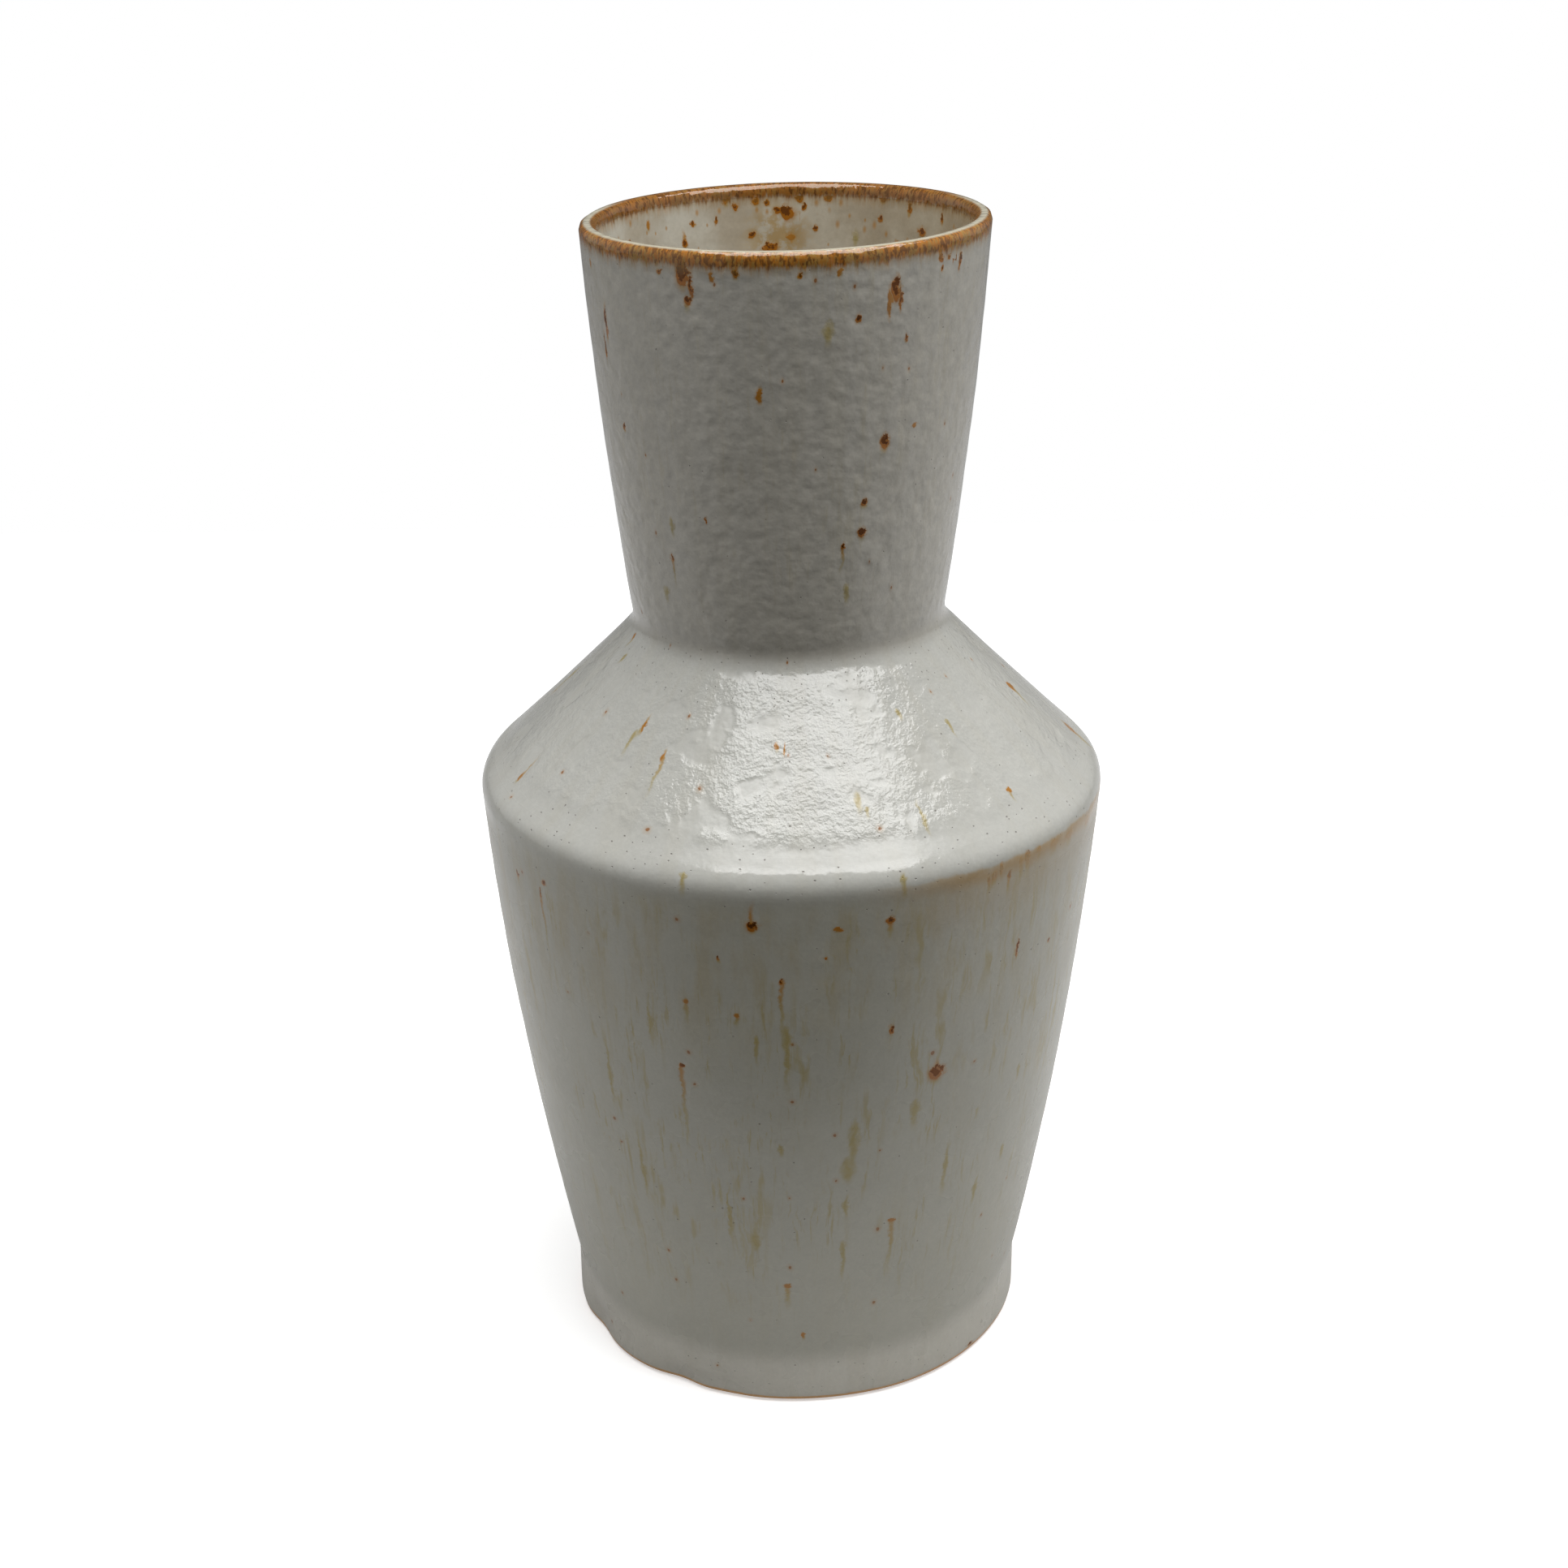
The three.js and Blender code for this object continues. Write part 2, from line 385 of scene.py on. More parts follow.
def turned(name: str, outline: Outline, segments: int) -> bpy.types.Object:
    """Draws an outline edge by edge and spins it about the vase's axis.

    Args:
        name: the piece's name.
        outline: the outline in millimetres. It closes on itself, unless it meets the axis.
        segments: the steps of the spin.

    Returns:
        The closed piece, its faces outwards.
    """
    no_distance, start_size = 1e-9, 0.001
    points = [point * METRE for point in outline]
    on_axis = [point.real < no_distance for point in points]
    if not any(on_axis):
        points.append(points[0])
    elif not (on_axis[0] and on_axis[-1]):
        split = next(i for i, here in enumerate(on_axis) if here and on_axis[i - 1])
        points = points[split:] + points[:split]
    bpy.ops.object.select_all(action="DESELECT")
    bpy.ops.mesh.primitive_plane_add(size=start_size, location=(points[0].real, 0, points[0].imag))
    piece = start_piece(name)
    bpy.ops.object.mode_set(mode="EDIT")
    bpy.ops.mesh.merge(type="CENTER")
    for before, after in zip(points, points[1:]):
        way = after - before
        move = {"value": (way.real, 0.0, way.imag)}
        bpy.ops.mesh.extrude_region_move(TRANSFORM_OT_translate=move)
    bpy.ops.mesh.select_all(action="SELECT")
    bpy.ops.mesh.spin(steps=segments, angle=TAU, center=(0, 0, 0), axis=(0, 0, 1))
    bpy.ops.mesh.select_all(action="SELECT")
    bpy.ops.mesh.remove_doubles(threshold=MERGE_WITHIN)
    bpy.ops.mesh.normals_make_consistent(inside=False)
    bpy.ops.object.mode_set(mode="OBJECT")
    bpy.ops.object.transform_apply(location=True, rotation=True, scale=True)
    return piece


def soften(piece: bpy.types.Object) -> None:
    """Shades a piece smooth, but for its hard edges."""
    bpy.ops.object.select_all(action="DESELECT")
    piece.select_set(True)
    bpy.context.view_layer.objects.active = piece
    bpy.ops.object.shade_smooth_by_angle(angle=math.radians(HARD_EDGE))


def places_of(piece: bpy.types.Object) -> np.ndarray:
    """The places of a piece's vertices, in millimetres, one row each."""
    places = np.empty(len(piece.data.vertices) * 3)
    piece.data.vertices.foreach_get("co", places)
    return places.reshape(-1, 3) / METRE


def move_to(piece: bpy.types.Object, places: np.ndarray) -> None:
    """Moves a piece's vertices to new places, given in millimetres."""
    piece.data.vertices.foreach_set("co", (places * METRE).ravel())
    piece.data.update()


def smoothstep(low: float, high: float, value: np.ndarray) -> np.ndarray:
    """0 below low, 1 above high and a smooth climb between."""
    share = np.clip((value - low) / (high - low), 0.0, 1.0)
    return share * share * (3 - 2 * share)


def turn_from(degrees: float, angle: np.ndarray) -> np.ndarray:
    """How far angles lie from a direction given in degrees, in radians from -pi to pi."""
    return (angle - math.radians(degrees) + math.pi) % TAU - math.pi


# ---- How the hand left it out of true ----


@dataclass(frozen=True)
class Dent:
    """A soft push in or out at one place on the wall.

    Attributes:
        angle: degrees round from the front, towards +X.
        height: millimetres above the table.
        width: its half width round the wall, in millimetres.
        tall: its half height, in millimetres.
        push: how far the wall moves outwards, in millimetres.
    """

    angle: float
    height: float
    width: float
    tall: float
    push: float


@dataclass(frozen=True)
class ThrowingMarks:
    """What the wheel and the hand did to every piece alike, in millimetres and degrees."""

    rim_tilt: float = 0.84
    tilt_rise: Span = (225.0, 300.0)
    wall_from_axis: Span = (8.0, 30.0)
    foot_dip: float = 4.6
    dip_fall: float = 70.0
    dip_radius: Span = (50.0, 60.0)
    dip_front: Span = (-0.1, 0.9)
    sway_heights: tuple[float, ...] = (0, 40, 100, 140, 158, 194, 204, 300)
    sway: tuple[float, ...] = (0.7, 0.8, 0.6, 0.6, 0.6, 0.8, 0.3, 0.45)
    oval: float = 0.14
    oval_turn: float = 0.7
    trefoil_turn: float = 1.1
    ring_pitch: float = 9.0
    ring_depth: float = 0.018
    ring_sway: float = 1.3
    ring_drift: float = 31.0
    ring_rise: Span = (20.0, 40.0)
    ring_fall: Span = (285.0, 297.0)
    lump_size: float = 26.0
    lump: float = 0.16
    ripple_size: float = 7.0
    ripple: float = 0.05
    shoulder_rise: Span = (150.0, 160.0)
    shoulder_fall: Span = (192.0, 200.0)
    dents: tuple[Dent, ...] = (
        Dent(-63, 4, 7, 8, -1.5),
        Dent(-46, 4, 7, 6, 0.35),
        Dent(-31, 2, 6, 5, -1.3),
        Dent(-18, 3, 6, 6, -0.35),
        Dent(24, 4, 14, 7, 0.25),
        Dent(62, 8, 12, 9, -0.35),
        Dent(-4, 168, 9, 6, -0.22),
        Dent(9, 176, 7, 7, 0.16),
        Dent(16, 166, 10, 5, -0.16),
        Dent(-12, 184, 8, 5, 0.12),
        Dent(120, 164, 16, 8, -0.3),
        Dent(-140, 150, 20, 12, -0.3),
        Dent(170, 12, 14, 9, 0.35),
        Dent(-110, 240, 18, 24, -0.2),
        Dent(95, 262, 16, 20, 0.18),
    )

    def applied(self, places: np.ndarray) -> np.ndarray:
        """Where vertices go when the marks are made.

        Args:
            places: vertices of the true form, in millimetres.

        Returns:
            The same vertices out of true.
        """
        x, y, z = places.T
        radius = np.hypot(x, y)
        angle = np.arctan2(x, -y)
        weight = smoothstep(*self.wall_from_axis, radius)
        push = self.oval * np.cos(2 * angle + self.oval_turn)
        push = push + 0.5 * self.oval * np.cos(3 * angle - self.trefoil_turn)
        rings = np.sin(TAU * z / self.ring_pitch + angle + self.ring_sway * np.sin(z / self.ring_drift))
        ringed = smoothstep(*self.ring_rise, z) * (1 - smoothstep(*self.ring_fall, z))
        push += self.ring_depth * rings * ringed
        push += self._lumps(angle, z)
        for dent in self.dents:
            across = turn_from(dent.angle, angle)
            far = (across * radius / dent.width) ** 2 + ((z - dent.height) / dent.tall) ** 2
            push += dent.push * np.exp(-far)
        push *= weight
        grown = 1 + push / np.maximum(radius, 1.0)
        sway = np.interp(z, self.sway_heights, self.sway) * weight
        tilt = math.tan(math.radians(self.rim_tilt)) * smoothstep(*self.tilt_rise, z)
        front = smoothstep(*self.dip_front, np.cos(angle)) * smoothstep(*self.dip_radius, radius)
        crease = FORM.band_height
        dip = self.foot_dip * front * smoothstep(0, crease, z) * (1 - smoothstep(crease, self.dip_fall, z))
        return np.stack([x * grown + sway, y * grown, z - dip + tilt * x * grown], axis=1)

    def _lumps(self, angle: np.ndarray, z: np.ndarray) -> np.ndarray:
        """Uneven swells of two sizes, more on the shoulder than on the walls."""
        on_drum = zip(DRUM * np.sin(angle), -DRUM * np.cos(angle), z)
        points = [Vector(place) for place in on_drum]
        broad = np.array([noise.noise(point / self.lump_size) for point in points])
        fine = np.array([noise.noise(point / self.ripple_size) for point in points])
        shoulder = smoothstep(*self.shoulder_rise, z) * (1 - smoothstep(*self.shoulder_fall, z))
        return self.lump * broad + self.ripple * fine * (0.5 + 1.5 * shoulder)


MARKS = ThrowingMarks()


# ---- Spots in the glaze, placed one by one ----


@dataclass(frozen=True)
class CoatPlaces:
    """Where the vertices of a coat lie on it.

    Attributes:
        way: each vertex's way from the lip's crest.
        depth: how far it lies under the glazed surface.
        angle: its angle round the vase, in radians.
        radius: its distance from the axis.
    """

    way: np.ndarray
    depth: np.ndarray
    angle: np.ndarray
    radius: np.ndarray

    @classmethod
    def of(cls, places: np.ndarray) -> "CoatPlaces":
        """Measures vertices from the nearest point of the path.

        Args:
            places: vertices of the true form, in millimetres.

        Returns:
            Where they lie.
        """
        rows_at_once = 4000
        angle = np.arctan2(places[:, 0], -places[:, 1])
        radius = np.hypot(places[:, 0], places[:, 1])
        here = radius + 1j * places[:, 2]
        way, depth = np.empty(len(here)), np.empty(len(here))
        for rows in np.array_split(np.arange(len(here)), max(1, len(here) // rows_at_once)):
            apart = np.abs(here[rows, None] - PATH.points[None, :])
            nearest = apart.argmin(axis=1)
            step = (here[rows] - PATH.points[nearest]) * np.conj(PATH.normals[nearest])
            way[rows] = PATH.way[nearest] + step.imag
            depth[rows] = step.real
        return cls(way, depth, angle, radius)


class Iron(Enum):
    """How much iron a fleck has left, from a thin olive stain to a solid rust spot."""

    OLIVE = 0.0
    OCHRE = 0.5
    RUST = 1.0


@dataclass(frozen=True)
class Fleck:
    """One speck of iron in the glaze, with the run that it left as it melted.

    Attributes:
        angle: degrees round from the front, towards +X.
        height: millimetres above the table, on the outside.
        wide: half its width, in millimetres.
        tall: half its height, in millimetres.
        above: how far its stem goes uphill.
        below: how far its run goes downhill.
        iron: how rusty it is.
    """

    angle: float
    height: float
    wide: float
    tall: float
    above: float = 0.0
    below: float = 0.0
    iron: Iron = Iron.RUST

    def offsets(self, spots: CoatPlaces, inside: bool) -> np.ndarray:
        """Where places on the coat lie from this fleck.

        Args:
            spots: the places.
            inside: whether the fleck is on the liner.

        Returns:
            For each place: how far round, how far downhill, and how far from the whole run.
        """
        across = turn_from(self.angle, spots.angle) * spots.radius
        along = (spots.way - PATH.way_at_height(self.height, inside)) * (-1 if inside else 1)
        beyond = along - np.clip(along, -self.above, self.below)
        return np.stack([across, along, np.hypot(across, beyond)], axis=1)

    def clearance(self, other: "Fleck") -> float:
        """The distance between this run and another, in millimetres."""
        across = math.radians(self.angle - other.angle) * UNROLLED
        gap = max(self.height - self.below - other.height - other.above,
                  other.height - other.below - self.height - self.above, 0.0)
        return math.hypot(across, gap)


# ---- Shader expressions ----


Value = Union["Signal", float, int]


class Signal:
    """A socket that adds Math nodes to its bench when it is used in an expression."""

    def __init__(self, bench: "Bench", socket: bpy.types.NodeSocket) -> None:
        """Holds a socket and the bench that its nodes are on."""
        self.bench = bench
        self.socket = socket

    def _with(self, operation: str, *values: Value) -> "Signal":
        """A Math node on these values."""
        inputs = dict(enumerate(values))
        return self.bench.add("ShaderNodeMath", {"operation": operation}, inputs)

    def __add__(self, other: Value) -> "Signal":
        """self + other."""
        return self._with("ADD", self, other)

    __radd__ = __add__

    def __sub__(self, other: Value) -> "Signal":
        """self - other."""
        return self._with("SUBTRACT", self, other)

    def __rsub__(self, other: Value) -> "Signal":
        """other - self."""
        return self._with("SUBTRACT", other, self)

    def __mul__(self, other: Value) -> "Signal":
        """self * other."""
        return self._with("MULTIPLY", self, other)

    __rmul__ = __mul__

    def __truediv__(self, other: Value) -> "Signal":
        """self / other."""
        return self._with("DIVIDE", self, other)

    def __pow__(self, other: Value) -> "Signal":
        """self ** other."""
        return self._with("POWER", self, other)

    def __abs__(self) -> "Signal":
        """The size of self."""
        return self._with("ABSOLUTE", self)

    def at_least(self, other: Value) -> "Signal":
        """The larger of self and other."""
        return self._with("MAXIMUM", self, other)

    def at_most(self, other: Value) -> "Signal":
        """The smaller of self and other."""
        return self._with("MINIMUM", self, other)

    def climb(self, low: Value, high: Value) -> "Signal":
        """0 below low, 1 above high and a smooth climb between; it falls if low is above high."""
        settings = {"interpolation_type": "SMOOTHSTEP"}
        inputs = {"Value": self, "From Min": low, "From Max": high}
        return self.bench.add("ShaderNodeMapRange", settings, inputs)


class Bench:
    """The node tree of one material, or of the world."""

    mix_first = 6
    mix_second = 7
    mix_result = 2

    def __init__(self, owner: bpy.types.Material | bpy.types.World) -> None:
        """Clears the owner's tree."""
        self.owner = owner
        owner.use_nodes = True
        self.tree = owner.node_tree
        self.tree.nodes.clear()

    @classmethod
    def of_material(cls, name: str) -> "Bench":
        """The bench of a new material."""
        return cls(bpy.data.materials.new(name))

    def node(self, kind: str, settings: dict, inputs: dict) -> bpy.types.Node:
        """Adds a node.

        Args:
            kind: the node's type.
            settings: its properties, which are set first.
            inputs: a value, colour, vector or Signal for each socket, by name or number.

        Returns:
            The new node.
        """
        node = self.tree.nodes.new(kind)
        for name, value in settings.items():
            setattr(node, name, value)
        for key, value in inputs.items():
            if isinstance(value, Signal):
                self.tree.links.new(value.socket, node.inputs[key])
            else:
                node.inputs[key].default_value = value
        return node

    def add(self, kind: str, settings: dict, inputs: dict, output: str | int = 0) -> Signal:
        """Adds a node, as node() does, and returns one of its outputs."""
        return Signal(self, self.node(kind, settings, inputs).outputs[output])

    def place(self) -> Signal:
        """The place on the piece, in millimetres."""
        here = self.add("ShaderNodeTexCoord", {}, {}, "Object")
        scale = {0: here, "Scale": 1 / METRE}
        return self.add("ShaderNodeVectorMath", {"operation": "SCALE"}, scale)

    def parts(self, vector: Signal) -> tuple[Signal, Signal, Signal]:
        """The three parts of a vector."""
        node = self.node("ShaderNodeSeparateXYZ", {}, {0: vector})
        x, y, z = (Signal(self, socket) for socket in node.outputs)
        return x, y, z

    def joined(self, x: Value, y: Value, z: Value) -> Signal:
        """A vector of three parts."""
        return self.add("ShaderNodeCombineXYZ", {}, {0: x, 1: y, 2: z})

    def attribute(self, name: str) -> Signal:
        """A vector that the piece's mesh holds by name."""
        return self.add("ShaderNodeAttribute", {"attribute_name": name}, {}, "Vector")

    def noise(self, place: Signal, size: float, detail: float = 2.0, rough: float = 0.5) -> Signal:
        """Soft noise from 0 to 1, with lumps about one size across."""
        inputs = {"Vector": place, "Scale": 1 / size, "Detail": detail, "Roughness": rough}
        return self.add("ShaderNodeTexNoise", {}, inputs)

    def cells(self, place: Signal, size: float, flat: bool = False) -> tuple[Signal, Signal, Signal]:
        """Scattered points: the distance to the nearest in millimetres, and its two lots."""
        settings = {"voronoi_dimensions": "2D" if flat else "3D"}
        node = self.node("ShaderNodeTexVoronoi", settings, {"Vector": place, "Scale": 1 / size})
        first, second, _ = self.parts(Signal(self, node.outputs["Color"]))
        return Signal(self, node.outputs["Distance"]) * size, first, second

    def colours(self, share: Value, first: "Colour", second: "Colour") -> Signal:
        """The first colour where the share is 0, and the second where it is 1."""
        settings = {"clamp_factor": True}
        return self._mixed(settings, share, first, second)

    def shaded(self, first: "Colour", second: Signal) -> Signal:
        """One colour times another."""
        return self._mixed({"blend_type": "MULTIPLY"}, 1.0, first, second)

    def _mixed(self, settings: dict, share: Value, first: "Colour", second: "Colour") -> Signal:
        """A node that mixes two colours."""
        inputs = {0: share, self.mix_first: paint(first), self.mix_second: paint(second)}
        return self.add("ShaderNodeMix", {"data_type": "RGBA"} | settings, inputs, self.mix_result)

    def surface(self, constants: dict, links: dict, height: Signal | None) -> bpy.types.Material:
        """Ends the tree in one Principled shader.

        Args:
            constants: values that are the same all over.
            links: what changes over the surface.
            height: the relief in millimetres, or None.

        Returns:
            The finished material.
        """
        inputs = dict(constants) | dict(links)
        if height is not None:
            relief = {"Height": height, "Distance": METRE, "Strength": 1.0}
            inputs["Normal"] = self.add("ShaderNodeBump", {}, relief)
        shader = self.add("ShaderNodeBsdfPrincipled", {}, inputs)
        self.node("ShaderNodeOutputMaterial", {}, {"Surface": shader})
        return self.owner


Colour = Union[Rgb, Signal]


def paint(colour: Colour) -> Union[tuple[float, float, float, float], Signal]:
    """A colour as a socket takes it."""
    return colour if isinstance(colour, Signal) else (*colour, 1.0)


# ---- Finishes ----


class Skin:
    """Where a place is on a coat, in each of the ways that the finishes need, in millimetres."""

    def __init__(self, bench: Bench) -> None:
        """Finds the place on the bench's material."""
        self.bench = bench
        self.place = bench.place()
        self.x, self.y, self.z = bench.parts(self.place)
        radius = (self.x * self.x + self.y * self.y) ** 0.5
        self.drum_x, self.drum_y = self.x / radius * DRUM, self.y / radius * DRUM
        self.way, _, _ = bench.parts(bench.attribute("way"))
        angle = bench.add("ShaderNodeMath", {"operation": "ARCTAN2"}, {0: self.x, 1: 0 - self.y})
        self.round = angle * UNROLLED
        seam, beside = 0.02, 0.05
        self.off_seam = abs(angle).climb(math.pi - seam, math.pi - beside)

    def hung(self, stretch: float) -> Signal:
        """A place for noise that is drawn out downhill."""
        return self.bench.joined(self.drum_x, self.drum_y, self.way * stretch)

    def unrolled(self, stretch: float = 1.0) -> Signal:
        """A flat place for scattered points, cut at the back."""
        return self.bench.joined(self.round, self.way * stretch, 0.0)


@dataclass(frozen=True)
class IronStains:
    """How iron shows through either coat: flecks, their runs and the band at the lip.

    Colours are linear. Ways are counted from the lip's crest.
    """

    olive: Rgb = (0.310, 0.250, 0.100)
    ochre: Rgb = (0.350, 0.165, 0.024)
    rust: Rgb = (0.300, 0.104, 0.006)
    umber: Rgb = (0.085, 0.024, 0.003)
    band: Rgb = (0.255, 0.142, 0.030)
    deep: Rgb = (0.105, 0.036, 0.004)
    # crest: the pale of the lip's thin top, also the colour of the painted highlight along its front
    crest: Rgb = (0.350, 0.325, 0.250)
    band_ends: Span = (5.6, 3.9)
    haze_ends: Span = (7.6, 3.8)
    crest_thin: Span = (0.4, 0.9)
    crest_pale_width: Span = (1.3, 0.5)
    back_covered: Span = (10.0, 26.0)
    front_painted_highlight: Span = (28.0, 8.0)
    turns_metal: Span = (0.17, 0.08)
    most_metal: float = 0.9

    def flecks(self, skin: Skin, tint: Signal, layer: str) -> tuple[Signal, Signal]:
        """Adds the flecks of one layer, each with its stem and its run.

        Args:
            skin: the place on the coat.
            tint: the colour so far.
            layer: the layer's name.

        Returns:
            The new colour, and how raised the flecks are.
        """
        bench, place = skin.bench, skin.place
        across, along, far = bench.parts(bench.attribute(f"{layer}_at"))
        wide, tall, iron = bench.parts(bench.attribute(f"{layer}_size"))
        above, below, _ = bench.parts(bench.attribute(f"{layer}_run"))
        beyond = (along - below).at_least(0 - above - along).at_least(0.0)
        near = (far - (across * across + beyond * beyond) ** 0.5).climb(2.4, 1.4)
        wobble = bench.noise(place, 1.0, 3.0, 0.65) - 0.5
        lean = bench.noise(place, 2.6, 2.0) - 0.5
        wander = (bench.noise(place, 4.5, 2.0) - 0.5) * 2.2
        spot_x = (across + wobble * 1.4 + lean * 1.8) / wide
        spot_y = (along + lean * 1.2 - wobble) / tall
        spot = (spot_x * spot_x + spot_y * spot_y) ** 0.5 + wobble * 1.3
        core = spot.climb(1.35, 1.05) * near
        halo = spot.climb(2.1, 1.0) * near
        thin = abs(across + wander + wobble * 1.1) / (wide * 0.8 + 0.35)
        down = along / below.at_least(0.01)
        up = along / above.at_least(0.01)
        run = thin.climb(1.2, 0.1) * down.climb(1.05, 0.25) * along.climb(-0.4, 0.3)
        stem = thin.climb(0.8, 0.0) * up.climb(-1.05, -0.3) * along.climb(0.4, -0.3)
        streak = (run + stem).at_most(1.0) * near * (wobble * 1.4 + 0.95)
        tail = bench.colours(iron * down.climb(0.6, 0.0), self.olive, self.ochre)
        tint = bench.colours(streak.at_most(1.0) * 0.9, tint, tail)
        tint = bench.colours(halo * 0.55, tint, bench.colours(iron.climb(0.0, 0.5), self.olive, self.ochre))
        solid = core * iron.climb(0.0, 0.6)
        tint = bench.colours(solid, tint, bench.colours(iron, self.ochre, self.rust))
        heart = (spot + wobble * 2.0 + along / tall * 0.40).climb(0.86, 0.56) * solid * iron.climb(0.5, 1.0)
        tint = bench.colours(heart * 0.85, tint, self.umber)
        return tint, core * 0.02

    def lip(self, skin: Skin, tint: Signal) -> Signal:
        """Adds the rusty band that breaks through on both sides of the lip, and the pale crest, which on
        the front is a painted highlight.
        """
        bench = skin.bench
        ragged = (bench.noise(skin.hung(0.22), 1.7, 3.0, 0.75) - 0.5) * 4.4
        clumps = bench.noise(skin.hung(0.3), 6.0, 2.0, 0.6)
        from_crest = abs(skin.way)
        start = (from_crest + ragged * 0.12).climb(*self.crest_thin)
        start = start.at_least(skin.y.climb(*self.back_covered))
        haze = (from_crest + ragged).climb(*self.haze_ends) * start
        thin = bench.colours(clumps.climb(0.50, 0.68), self.band, self.ochre)
        tint = bench.colours(haze * 0.60, tint, thin)
        grain = bench.noise(skin.hung(0.35), 0.8, 4.0, 0.75)
        rusty = bench.colours((grain + clumps * 0.4).climb(0.58, 0.80), thin, self.rust)
        # Darker towards the inside of the mouth: partly the iron's own colour, partly painted shade.
        rusty = bench.colours(skin.way.climb(1.4, -0.5) * 0.55, rusty, self.deep)
        dots = bench.noise(skin.hung(0.5), 0.9, 2.0, 0.6) + clumps * 0.3 - from_crest * 0.012
        rusty = bench.colours(dots.climb(0.60, 0.70) * 0.8, rusty, self.deep)
        band = start * (from_crest + ragged).climb(*self.band_ends)
        tint = bench.colours(band * 0.94, tint, rusty)
        # The pale crest: partly the thin glaze's own pale, and on the front a painted highlight.
        pale_and_highlight = (from_crest + ragged * 0.12).climb(*self.crest_pale_width)
        pale_and_highlight = pale_and_highlight * (skin.y.climb(*self.front_painted_highlight) * 0.85 + 0.05)
        return bench.colours(pale_and_highlight, tint, self.crest)

    def sheen(self, skin: Skin, tint: Signal) -> Signal:
        """How metallic a coat has set, which it does where so much iron gathered that it is dark."""
        red, _, _ = skin.bench.parts(tint)
        return red.climb(*self.turns_metal) * self.most_metal


STAINS = IronStains()


